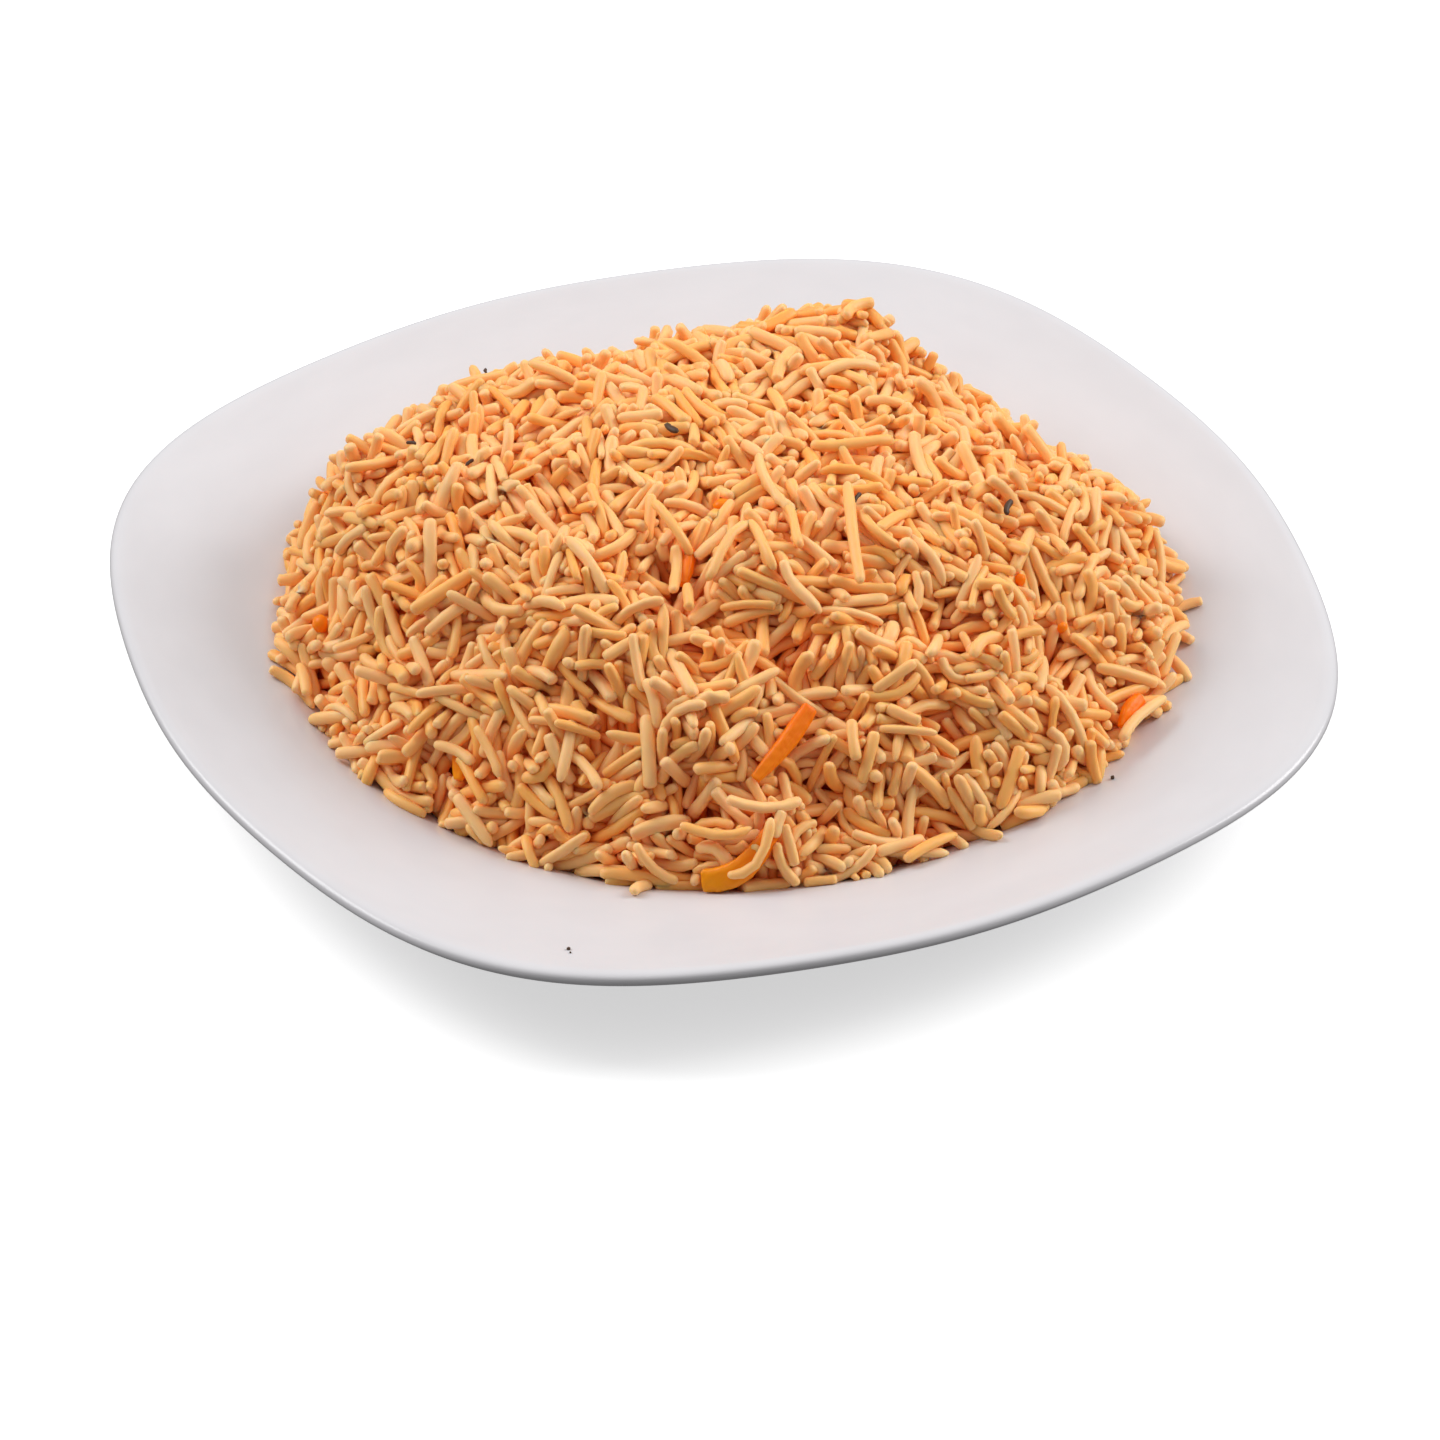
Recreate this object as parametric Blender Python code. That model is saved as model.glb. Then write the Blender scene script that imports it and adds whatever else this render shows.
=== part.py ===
"""Bukhari rice on its plate: a rounded-square porcelain plate, one heap of rice and carrot strips.

Metres, +Z up. The origin is on the table under the plate's middle, and the plate's four sides face
+X, -X, +Y and -Y. The heap has axes of its own, turned by HEAP_TURN, in which its places are given.
"""

import math
import random

import bmesh
import bpy
import numpy as np
from mathutils import Matrix, Vector
from mathutils.geometry import delaunay_2d_cdt

MM = 0.001
SEED = 11

# Plate: its outline is a circle whose corners swell and whose sides draw in
PLATE_RADIUS = 127 * MM
CORNER_SWELL = 0.037
CORNER_ROUNDING = 0.007
PLATE_SEGMENTS = 64
SHARP_ANGLE = math.radians(50)
# Share of the outline's radius, height, and squareness from 0, round, to 1, the full outline
PLATE_UNDERSIDE = (
    (0.500, 2.5 * MM, 0.0),
    (0.515, 0.0, 0.0),
    (0.550, 0.0, 0.0),
    (0.575, 3.0 * MM, 0.0),
    (0.660, 6.5 * MM, 0.0),
    (0.745, 13.2 * MM, 0.2),
    (0.983, 20.3 * MM, 1.0),
    (0.992, 21.0 * MM, 1.0),
    (0.992, 21.9 * MM, 1.0),
    (1.000, 22.1 * MM, 1.0),
)
PLATE_TOP = (
    (0.998, 23.5 * MM, 1.0),
    (0.984, 24.0 * MM, 1.0),
    (0.955, 23.2 * MM, 0.9),
    (0.740, 18.2 * MM, 0.2),
    (0.680, 14.0 * MM, 0.0),
    (0.620, 9.2 * MM, 0.0),
    (0.560, 8.0 * MM, 0.0),
)
# Share of the outline's radius where the well's wall turns into the rim
RIM_SHARE = 0.74

# Heap: a dome over an uneven round foot that lies on the plate's rim
HEAP_TURN = math.radians(-25)
HEAP_RADIUS = 91.5 * MM
HEAP_OVAL = (2.5 * MM, 2.5 * MM, -0.8 * MM, 1.4 * MM)
HEAP_RISE = 43.6 * MM
HEAP_FULLNESS = 3.03
HEAP_SHOULDER = 0.81
HEAP_TILT = (-0.6, 1.0)
MIDDLE_LEVEL = 18 * MM
FOOT_POINTS = 96
FOOT_RIPPLE = 1.3 * MM
RIPPLE_KNOTS = 72
FOOT_FADE = 0.12
FOOT_LEDGE = 1.5 * MM
PLATE_GAP = 0.5 * MM
# Lumps and hollows on the heap's own axes: x, y, spread, rise
LUMPS = (
    (26 * MM, 57 * MM, 11 * MM, 7.5 * MM),
    (-71 * MM, 20 * MM, 11 * MM, 4.5 * MM),
    (83 * MM, 14 * MM, 12 * MM, 3.0 * MM),
    (-43 * MM, 52 * MM, 7 * MM, 2.0 * MM),
    (-31 * MM, 60 * MM, 8 * MM, -3.0 * MM),
    (-13 * MM, 62 * MM, 11 * MM, -4.5 * MM),
    (56 * MM, 42 * MM, 12 * MM, -4.5 * MM),
    (-51 * MM, -39 * MM, 6 * MM, -4.0 * MM),
    (-23 * MM, -64 * MM, 6 * MM, -3.5 * MM),
    (-3 * MM, -45 * MM, 5 * MM, -3.0 * MM),
    (-10 * MM, -31 * MM, 6 * MM, -3.5 * MM),
    (-3 * MM, -77 * MM, 6 * MM, -3.5 * MM),
    (-58 * MM, -61 * MM, 6 * MM, -3.5 * MM),
    (-44 * MM, -75 * MM, 5 * MM, -3.0 * MM),
    (23 * MM, -76 * MM, 6 * MM, -3.5 * MM),
    (43 * MM, -74 * MM, 5 * MM, -3.0 * MM),
    (47 * MM, -38 * MM, 6 * MM, -3.0 * MM),
    (69 * MM, -33 * MM, 5 * MM, -2.5 * MM),
    (15 * MM, -51 * MM, 5 * MM, -3.0 * MM),
    (47 * MM, -60 * MM, 5 * MM, -2.5 * MM),
)
CLUMPS = 60
CLUMP_AREA = 0.95
CLUMP_SPREAD = 7 * MM
CLUMP_SPREAD_SHARES = (0.7, 1.3)
CLUMP_RISE = 1.5 * MM
CLUMP_RISE_SHARES = (0.5, 1)
# The heap's chart is a disk of radius 1, from the heap's top to its foot
CHART_STEP = 0.004
CHART_EDGE = 0.995
SAME_PLACE = 1e-7
MERIDIAN_STEPS = 400

# Rice grains: the heap's skin is a quilt of bumps, each as long and wide as one grain
GRAIN_WIDTH = 2.6 * MM
BUMP_LENGTHS = ((12 * MM, 15 * MM), (9 * MM, 12 * MM), (5 * MM, 9 * MM))
BUMP_TRIES = 7000
BUMP_SPACING = 2.7 * MM
CREST_STOPS = 9
BUMP_RISE = 1.3 * MM
BUMP_END_RISE = 0.7 * MM
BUMP_UNEVENNESS = (-0.5 * MM, 0.6 * MM)
BUMP_LEAN = 0.5 * MM
BUMP_EDGE = 0.97
BUNDLES = 90
BUNDLE_DISORDER = math.radians(28)
DIP_EDGE = 0.98
DIP_SPACING = 3.6 * MM
DIP_CLEARANCE = 1.7 * MM
DIP_DEPTH = 1.4 * MM
DIP_DEPTH_SHARES = (0.6, 1.3)
DIP_TRIES = 9000
WHOLE_GRAINS = 40
WHOLE_TRIES = 3000
WHOLE_SPACING = 19 * MM
WHOLE_LENGTHS = (9 * MM, 15 * MM)
WHOLE_BEND = 1.2 * MM
WHOLE_TIPS = (math.radians(4), math.radians(24))
WHOLE_RISES = (0.5 * MM, 1.5 * MM)
EDGE_GRAINS = 20
EDGE_PLACE = 0.965
EDGE_JITTER = 0.3
EDGE_LENGTHS = (8 * MM, 13 * MM)
EDGE_BEND = 1 * MM
STRAY_LENGTH = 11 * MM
STRAY_BEND = 0.8 * MM
# Grains that slid off the heap and lean on its foot: x, y on the heap's axes, and turn
STRAY_GRAINS = (
    (97 * MM, 3 * MM, 20),
    (96 * MM, -4 * MM, 110),
    (95 * MM, 9 * MM, 75),
    (-17 * MM, -91 * MM, 15),
)
GRAIN_SIDES = 5
# Along a grain: place as a share of its length, and girth as a share of its width
GRAIN_RINGS = ((-0.36, 0.72), (0.0, 1.0), (0.36, 0.72))

# Cumin seeds: x, y on the heap's axes, and turn
CUMIN_LENGTH = 5.5 * MM
CUMIN_WIDTH = 1.5 * MM
CUMIN_BEND = 0.3 * MM
CUMIN_RISE = 1.3 * MM
CUMIN_SEEDS = (
    (-10 * MM, 7 * MM, 100),
    (59 * MM, -7 * MM, 60),
    (-64 * MM, 14 * MM, 150),
    (-23 * MM, -2 * MM, 20),
    (29 * MM, -15 * MM, 5),
    (-13 * MM, -61 * MM, 40),
    (-48 * MM, 45 * MM, 10),
    (30 * MM, 58 * MM, 130),
)

# Carrot strips, on the heap's axes: the two ends, width, thickness, how far it stands proud of
# the heap, and how far it bows to its right
CARROTS = {
    "carrot_front": ((-3.4, -92.2), (11.6, -83.4), 5.2, 2.6, 1.8, 2.1),
    "carrot_middle": ((18.8, -64.0), (7.2, -77.4), 3.8, 3.0, 1.3, -0.8),
    "carrot_right": ((87.7, -34.4), (83.5, -42.0), 3.2, 2.6, 0.9, 0.3),
    "carrot_hollow": ((-6.6, -27.5), (-7.8, -36.6), 3.4, 2.6, 0.9, 0.0),
    "carrot_left": ((-55.0, -58.5), (-55.2, -62.2), 3.4, 2.6, 0.8, 0.0),
}
CARROT_STOPS = 7
CARROT_SOFTNESS = 0.62
# A strip is widest at this share of its length, and loses this share of its width towards its ends
CARROT_WIDEST = 0.35
CARROT_TAPER = 1.0
CARROT_EVENINGS = 3
CARROT_GAP = 0.45 * MM
BLUNTEST = 0.4
CARROT_CLEARANCE = 4 * MM
BED_DEPTH = 1.0 * MM


def clear_scene():
    for old in list(bpy.data.objects):
        bpy.data.objects.remove(old)


def collection(name):
    made = bpy.data.collections.new(name)
    bpy.context.scene.collection.children.link(made)
    return made


def material(name, colour, roughness):
    made = bpy.data.materials.new(name)
    made.use_nodes = True
    shader = made.node_tree.nodes["Principled BSDF"]
    shader.inputs["Base Color"].default_value = (*colour, 1)
    shader.inputs["Roughness"].default_value = roughness
    shader.inputs["Metallic"].default_value = 0
    return made


def add_object(name, mesh, home, surface=None):
    made = bpy.data.objects.new(name, mesh)
    home.objects.link(made)
    if surface is not None:
        mesh.materials.clear()
        mesh.materials.append(surface)
    return made


def loft(name, rings, first_tip=None, last_tip=None):
    """A closed mesh through rings of equal counts. An end without a tip is closed by a flat face."""
    shape = bmesh.new()
    rows = [[shape.verts.new(point) for point in ring] for ring in rings]
    for low, high in zip(rows, rows[1:]):
        for i in range(len(low)):
            j = (i + 1) % len(low)
            shape.faces.new((low[i], low[j], high[j], high[i]))
    for row, tip in ((rows[0], first_tip), (rows[-1], last_tip)):
        if tip is None:
            shape.faces.new(row)
            continue
        end = shape.verts.new(tip)
        for i in range(len(row)):
            shape.faces.new((row[i], row[(i + 1) % len(row)], end))
    bmesh.ops.recalc_face_normals(shape, faces=shape.faces)
    mesh = bpy.data.meshes.new(name)
    shape.to_mesh(mesh)
    shape.free()
    return mesh


# ---------------------------------------------------------------- plate


def plate_radius(angle, share, squareness):
    """The radius of one of the plate's rings: round in the well, a rounded square at the lip."""
    swell = CORNER_SWELL * np.cos(4 * angle) - CORNER_ROUNDING * np.cos(8 * angle)
    return PLATE_RADIUS * share * (1 - squareness * swell)


def plate_ring(share, height, squareness):
    angles = 2 * math.pi * np.arange(PLATE_SEGMENTS) / PLATE_SEGMENTS
    radius = plate_radius(angles, share, squareness)
    return np.stack([radius * np.cos(angles), radius * np.sin(angles), np.full_like(radius, height)], 1)


def plate_top_height(x, y):
    """The height of the plate's upper face under (x, y), read along its profile."""
    shares, heights, squareness = np.array(PLATE_TOP[::-1]).T
    angle = np.arctan2(y, x)
    share = np.hypot(x, y) / PLATE_RADIUS
    swell = CORNER_SWELL * np.cos(4 * angle) - CORNER_ROUNDING * np.cos(8 * angle)
    share = share / (1 - np.interp(share, shares, squareness) * swell)
    return np.interp(share, shares, heights)


def make_plate(home, glaze):
    rings = [plate_ring(*row) for row in PLATE_UNDERSIDE + PLATE_TOP]
    plate = add_object("plate", loft("plate", rings), home, glaze)
    plate.data.shade_smooth()
    plate.data.set_sharp_from_angle(angle=SHARP_ANGLE)
    return plate


# ---------------------------------------------------------------- heap's form


def meridian():
    """From the top to the foot: share of the arc walked, share of the radius, share of the rise."""
    turn = np.linspace(0, math.pi / 2, MERIDIAN_STEPS)
    radius = np.sin(turn) ** (2 / HEAP_FULLNESS)
    rise = np.cos(turn) ** (2 * HEAP_SHOULDER)
    steps = np.hypot(np.diff(radius) * HEAP_RADIUS, np.diff(rise) * HEAP_RISE)
    walked = np.concatenate([[0], np.cumsum(steps)])
    return walked / walked[-1], radius, rise


WALK, WALK_RADIUS, WALK_RISE = meridian()


def foot_ripple():
    """Random knots round the foot, where single grains stick out or are missing."""
    draw = np.random.default_rng(SEED)
    knots = draw.uniform(-1, 1, RIPPLE_KNOTS)
    return np.append(knots, knots[0])


RIPPLE = foot_ripple()


def foot_radius(angle):
    """The foot's distance from the middle, by the angle on the heap's own axes."""
    shift, wide, skew, corner = HEAP_OVAL
    smooth = HEAP_RADIUS + shift * np.cos(angle) + wide * np.cos(2 * angle)
    smooth = smooth + skew * np.sin(2 * angle) + corner * np.cos(4 * angle)
    around = np.mod(angle, 2 * math.pi) / (2 * math.pi) * (len(RIPPLE) - 1)
    return smooth + FOOT_RIPPLE * np.interp(around, np.arange(len(RIPPLE)), RIPPLE)


def to_part(x, y):
    """From the heap's axes to the part's."""
    cos, sin = math.cos(HEAP_TURN), math.sin(HEAP_TURN)
    return x * cos - y * sin, x * sin + y * cos


def clumps():
    """Seeded swellings and dips all over, about as wide as a small bundle of grains."""
    draw = np.random.default_rng(SEED + 1)
    turn = draw.uniform(0, 2 * math.pi, CLUMPS)
    out = HEAP_RADIUS * np.sqrt(draw.uniform(0, CLUMP_AREA, CLUMPS))
    rise = draw.choice([-1, 1], CLUMPS) * draw.uniform(*CLUMP_RISE_SHARES, CLUMPS) * CLUMP_RISE
    spread = CLUMP_SPREAD * draw.uniform(*CLUMP_SPREAD_SHARES, CLUMPS)
    return np.stack([out * np.cos(turn), out * np.sin(turn), spread, rise], 1)


UNEVEN = np.concatenate([np.array(LUMPS), clumps()])


def bare_dome(chart):
    """Chart points (0 at the top, length 1 at the foot) to points of the smooth dome."""
    walked = np.minimum(np.hypot(chart[:, 0], chart[:, 1]), 1)
    angle = np.arctan2(chart[:, 1], chart[:, 0])
    share = np.interp(walked, WALK, WALK_RADIUS)
    foot = foot_radius(angle)
    x = share * foot * np.cos(angle)
    y = share * foot * np.sin(angle)
    tilt = 1 + HEAP_TILT[0] * x + HEAP_TILT[1] * y
    part_x, part_y = to_part(x, y)
    edge_x, edge_y = to_part(foot * np.cos(angle), foot * np.sin(angle))
    level = plate_top_height(edge_x, edge_y) + PLATE_GAP
    foot_height = MIDDLE_LEVEL + (level - MIDDLE_LEVEL) * share**4
    height = foot_height + HEAP_RISE * tilt * np.interp(walked, WALK, WALK_RISE)
    return np.stack([part_x, part_y, height], 1), np.stack([x, y], 1), walked


def normals_of(surface, chart):
    """Outward directions, and how the surface moves along the chart's axes, taken inside the foot."""
    step = CHART_STEP
    walked = np.maximum(np.hypot(chart[:, 0], chart[:, 1]), step)
    chart = chart * (np.minimum(walked, 1 - 3 * step) / walked)[:, None]
    along = surface(chart + (step, 0)) - surface(chart - (step, 0))
    across = surface(chart + (0, step)) - surface(chart - (0, step))
    normal = np.cross(along, across)
    return normal / np.linalg.norm(normal, axis=1, keepdims=True), along, across


def heap_surface(chart):
    """The dome with its lumps and hollows, which fade out at the foot."""
    points, places, walked = bare_dome(chart)
    out, _, _ = normals_of(lambda where: bare_dome(where)[0], chart)
    apart = places[:, None, :] - UNEVEN[None, :, :2]
    swell = UNEVEN[:, 3] * np.exp(-(apart**2).sum(2) / (2 * UNEVEN[:, 2] ** 2))
    fade = np.clip((1 - walked) / FOOT_FADE, 0, 1)
    return points + out * (swell.sum(1) * fade)[:, None]


def chart_of(x, y):
    """The chart point above a place on the heap's axes."""
    angle = math.atan2(y, x)
    share = min(math.hypot(x, y) / float(foot_radius(np.array([angle]))[0]), CHART_EDGE)
    walked = float(np.interp(share, WALK_RADIUS, WALK))
    return np.array([[walked * math.cos(angle), walked * math.sin(angle)]])


# ---------------------------------------------------------------- quilt of grain-sized bumps


def even_places(draw, count):
    """Chart points spread evenly over the heap's skin."""
    weight = WALK_RADIUS / WALK_RADIUS.max()
    total = np.concatenate([[0], np.cumsum((weight[1:] + weight[:-1]) / 2 * np.diff(WALK))])
    walked = np.interp(draw.uniform(0, total[-1], count), total, WALK)
    angle = draw.uniform(0, 2 * math.pi, count)
    return np.stack([walked * np.cos(angle), walked * np.sin(angle)], 1)


def bundle_turns(draw, points):
    """Neighbouring grains lie roughly alike: each takes its nearest bundle's turn, loosely."""
    bundles = points[draw.choice(len(points), BUNDLES, replace=False)]
    turns = draw.uniform(0, math.pi, BUNDLES)
    nearest = ((points[:, None] - bundles[None]) ** 2).sum(2).argmin(1)
    return turns[nearest] + draw.normal(0, BUNDLE_DISORDER, len(points))


def bump_candidates(draw, lengths):
    """Places along each candidate bump's crest, on the chart and in space."""
    chart = even_places(draw, BUMP_TRIES)
    normal, along, across = normals_of(heap_surface, chart)
    turn = bundle_turns(draw, heap_surface(chart))
    first = along / np.linalg.norm(along, axis=1, keepdims=True)
    second = np.cross(normal, first)
    heading = first * np.cos(turn)[:, None] + second * np.sin(turn)[:, None]
    frame = np.stack([along, across], 2)
    step = np.einsum("nij,nj->ni", np.linalg.pinv(frame), heading) * 2 * CHART_STEP
    half = (draw.uniform(*lengths, len(chart)) - GRAIN_WIDTH) / 2
    stops = np.linspace(-1, 1, CREST_STOPS)
    spots = chart[:, None] + step[:, None] * (half[:, None] * stops)[:, :, None]
    spots = spots[np.hypot(spots[..., 0], spots[..., 1]).max(1) < BUMP_EDGE]
    return spots, heap_surface(spots.reshape(-1, 2)).reshape(len(spots), CREST_STOPS, 3)


def scatter_bumps():
    """Crest lines, longest first, each kept where it clears those before it."""
    draw = np.random.default_rng(SEED + 2)
    kept_spots = []
    kept_solid = np.empty((0, 3))
    for lengths in BUMP_LENGTHS:
        for spots, solid in zip(*bump_candidates(draw, lengths)):
            apart = kept_solid[:, None] - solid[None]
            if len(kept_solid) and (apart**2).sum(2).min() < BUMP_SPACING**2:
                continue
            kept_spots.append(spots)
            kept_solid = np.concatenate([kept_solid, solid])
    return kept_spots, kept_solid


def scatter_dips(crest_solid):
    """Points in the gaps between the bumps, kept a little apart."""
    draw = np.random.default_rng(SEED + 3)
    chart = even_places(draw, DIP_TRIES)
    chart = chart[np.hypot(chart[:, 0], chart[:, 1]) < DIP_EDGE]
    kept = []
    kept_solid = np.empty((0, 3))
    for place, point in zip(chart, heap_surface(chart)):
        if ((crest_solid - point) ** 2).sum(1).min() < DIP_CLEARANCE**2:
            continue
        if len(kept) and ((kept_solid - point) ** 2).sum(1).min() < DIP_SPACING**2:
            continue
        kept.append(place)
        kept_solid = np.concatenate([kept_solid, point[None]])
    return kept


def quilt():
    """Chart points with their rise off the heap's skin, and the crest edges between them."""
    draw = np.random.default_rng(SEED + 4)
    bumps, crest_solid = scatter_bumps()
    spots, rises, crests = [], [], []
    for bump in bumps:
        start = len(spots)
        unevenness = draw.uniform(*BUMP_UNEVENNESS)
        lean = draw.uniform(-BUMP_LEAN, BUMP_LEAN)
        spots += [bump[0], bump[CREST_STOPS // 2], bump[-1]]
        ends = BUMP_END_RISE + unevenness
        rises += [ends + lean, BUMP_RISE + unevenness, ends - lean]
        crests += [(start, start + 1), (start + 1, start + 2)]
    dips = scatter_dips(crest_solid)
    spots += dips
    rises += [-DIP_DEPTH * draw.uniform(*DIP_DEPTH_SHARES) for _ in dips]
    return np.array(spots), np.array(rises), crests


def underside_rings():
    """The heap's hidden face, from its foot down the plate's wall to the well's floor."""
    angles = 2 * math.pi * np.arange(FOOT_POINTS) / FOOT_POINTS
    shares, heights, _ = np.array(PLATE_TOP).T
    wall = [row for row in range(len(shares)) if shares[row] < RIM_SHARE]
    edge = foot_radius(angles)
    brow = np.minimum(RIM_SHARE * PLATE_RADIUS, edge - FOOT_LEDGE)
    rings = []
    for radius in [brow] + [np.full_like(edge, shares[row] * PLATE_RADIUS) for row in wall]:
        x, y = to_part(radius * np.cos(angles), radius * np.sin(angles))
        rings.append(np.stack([x, y, plate_top_height(x, y) + PLATE_GAP], 1))
    return rings


def heap_core():
    """One closed mesh: the quilted skin, its foot, and the hidden face over the plate."""
    spots, rises, crests = quilt()
    angles = 2 * math.pi * np.arange(FOOT_POINTS) / FOOT_POINTS
    foot = np.stack([np.cos(angles), np.sin(angles)], 1)
    chart = np.concatenate([spots, foot])
    rise = np.concatenate([rises, np.zeros(len(foot))])
    normal, _, _ = normals_of(heap_surface, chart)
    skin = heap_surface(chart)
    # Bumps under a carrot strip are pressed flat, so that the strip isn't covered
    near = np.sqrt(((skin[:, None] - carrot_points()[None]) ** 2).sum(2)).min(1) < CARROT_CLEARANCE
    rise[: len(spots)][near[: len(spots)]] = -BED_DEPTH
    solid = skin + normal * rise[:, None]
    corners = [Vector(spot) for spot in chart]
    _, _, faces, origins, _, _ = delaunay_2d_cdt(corners, crests, [], 0, SAME_PLACE, True)
    shape = bmesh.new()
    verts = [shape.verts.new(point) for point in solid]
    for face in faces:
        shape.faces.new([verts[origins[corner][0]] for corner in face])
    above = verts[len(spots) :]
    for ring in underside_rings():
        below = [shape.verts.new(point) for point in ring]
        for i in range(FOOT_POINTS):
            j = (i + 1) % FOOT_POINTS
            shape.faces.new((above[i], above[j], below[j], below[i]))
        above = below
    shape.faces.new(above)
    bmesh.ops.recalc_face_normals(shape, faces=shape.faces)
    mesh = bpy.data.meshes.new("rice")
    shape.to_mesh(mesh)
    shape.free()
    return mesh


# ---------------------------------------------------------------- whole grains and seeds


def spindle(name, length, width, bend, sides=GRAIN_SIDES):
    """A grain or seed along X: round in section, full in the middle, blunt at both ends."""
    rings = []
    for place, girth in GRAIN_RINGS:
        turns = [2 * math.pi * side / sides for side in range(sides)]
        sag = bend * (1 - (2 * place) ** 2)
        radius = width / 2 * girth
        ring = [(length * place, radius * math.cos(a) + sag, radius * math.sin(a)) for a in turns]
        rings.append(ring)
    return loft(name, rings, (-length / 2, 0, 0), (length / 2, 0, 0))


def pose(chart, turn, tip, rise):
    """A matrix that lays an X-long piece on the heap's skin, turned, tipped up and raised."""
    normal, along, _ = normals_of(heap_surface, chart)
    out = Vector(normal[0])
    first = Vector(along[0]).normalized()
    ahead = (first * math.cos(turn) + out.cross(first) * math.sin(turn)).normalized()
    ahead = (ahead * math.cos(tip) + out * math.sin(tip)).normalized()
    side = out.cross(ahead).normalized()
    up = ahead.cross(side)
    turned = Matrix((ahead, side, up)).transposed().to_4x4()
    place = Vector(heap_surface(chart)[0]) + out * rise
    return Matrix.Translation(place) @ turned


def lift_off_plate(mesh):
    """Raises a piece until all of it clears the plate."""
    points = np.array([vert.co for vert in mesh.vertices])
    short = (plate_top_height(points[:, 0], points[:, 1]) + PLATE_GAP - points[:, 2]).max()
    if short > 0:
        mesh.transform(Matrix.Translation((0, 0, short)))


def add_piece(name, mesh, matrix, home, keep_clear):
    """Adds a piece to fuse, unless it would cross a carrot strip."""
    mesh.transform(matrix)
    lift_off_plate(mesh)
    points = np.array([vert.co for vert in mesh.vertices])
    apart = np.sqrt(((points[:, None] - keep_clear[None]) ** 2).sum(2)).min()
    if apart > CARROT_CLEARANCE:
        add_object(name, mesh, home)


def standing_places():
    """Chart points spread evenly over the heap, for whole grains that stand out of the quilt."""
    places = even_places(np.random.default_rng(SEED + 5), WHOLE_TRIES)
    solid = heap_surface(places)
    kept = []
    for row in range(len(places)):
        if len(kept) == WHOLE_GRAINS:
            break
        if all(np.linalg.norm(solid[row] - solid[other]) > WHOLE_SPACING for other in kept):
            kept.append(row)
    return places[kept]


def add_whole_grains(home, keep_clear):
    """Whole grains that stand out of the quilt, that lie round the foot, and that slid off."""
    draw = random.Random(SEED + 5)
    for place in standing_places():
        bend = draw.uniform(-WHOLE_BEND, WHOLE_BEND)
        mesh = spindle("grain", draw.uniform(*WHOLE_LENGTHS), GRAIN_WIDTH, bend)
        turn = draw.uniform(0, 2 * math.pi)
        matrix = pose(place[None], turn, draw.uniform(*WHOLE_TIPS), draw.uniform(*WHOLE_RISES))
        add_piece("grain", mesh, matrix, home, keep_clear)
    for number in range(EDGE_GRAINS):
        angle = 2 * math.pi * (number + draw.uniform(-EDGE_JITTER, EDGE_JITTER)) / EDGE_GRAINS
        place = EDGE_PLACE * np.array([[math.cos(angle), math.sin(angle)]])
        bend = draw.uniform(-EDGE_BEND, EDGE_BEND)
        mesh = spindle("grain", draw.uniform(*EDGE_LENGTHS), GRAIN_WIDTH, bend)
        add_piece("grain", mesh, pose(place, draw.uniform(0, math.pi), 0, 0), home, keep_clear)
    for x, y, degrees in STRAY_GRAINS:
        part_x, part_y = to_part(x, y)
        level = float(plate_top_height(part_x, part_y)) + PLATE_GAP + GRAIN_WIDTH / 2
        matrix = Matrix.Translation((part_x, part_y, level))
        matrix = matrix @ Matrix.Rotation(HEAP_TURN + math.radians(degrees), 4, "Z")
        mesh = spindle("grain", STRAY_LENGTH, GRAIN_WIDTH, STRAY_BEND)
        add_piece("grain", mesh, matrix, home, keep_clear)


def add_cumin(home, keep_clear):
    for x, y, degrees in CUMIN_SEEDS:
        mesh = spindle("cumin", CUMIN_LENGTH, CUMIN_WIDTH, CUMIN_BEND)
        matrix = pose(chart_of(x, y), math.radians(degrees), 0, CUMIN_RISE)
        add_piece("cumin", mesh, matrix, home, keep_clear)


# ---------------------------------------------------------------- carrot strips


def carrot_sizes(name):
    """The strip's row of the table in metres."""
    start, end, *sizes = CARROTS[name]
    return np.array(start) * MM, np.array(end) * MM, *(size * MM for size in sizes)


def carrot_path(name):
    """Points along the strip's middle, on the heap's skin, with the skin's outward direction."""
    start, end, _, thickness, proud, bow = carrot_sizes(name)
    shares = np.linspace(0, 1, CARROT_STOPS)[:, None]
    ahead = (end - start) / np.linalg.norm(end - start)
    aside = np.array([ahead[1], -ahead[0]])
    places = start * (1 - shares) + end * shares + aside * bow * 4 * shares * (1 - shares)
    chart = np.concatenate([chart_of(*place) for place in places])
    normal, _, _ = normals_of(heap_surface, chart)
    level = heap_surface(chart) + normal * (proud - thickness / 2)
    # A strip is stiff, so it bridges the skin's dips: its middle line is evened out
    for _ in range(CARROT_EVENINGS):
        level[1:-1] = (level[:-2] + 2 * level[1:-1] + level[2:]) / 4
        normal[1:-1] = normal[:-2] + 2 * normal[1:-1] + normal[2:]
        normal /= np.linalg.norm(normal, axis=1, keepdims=True)
    return level, normal


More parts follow.
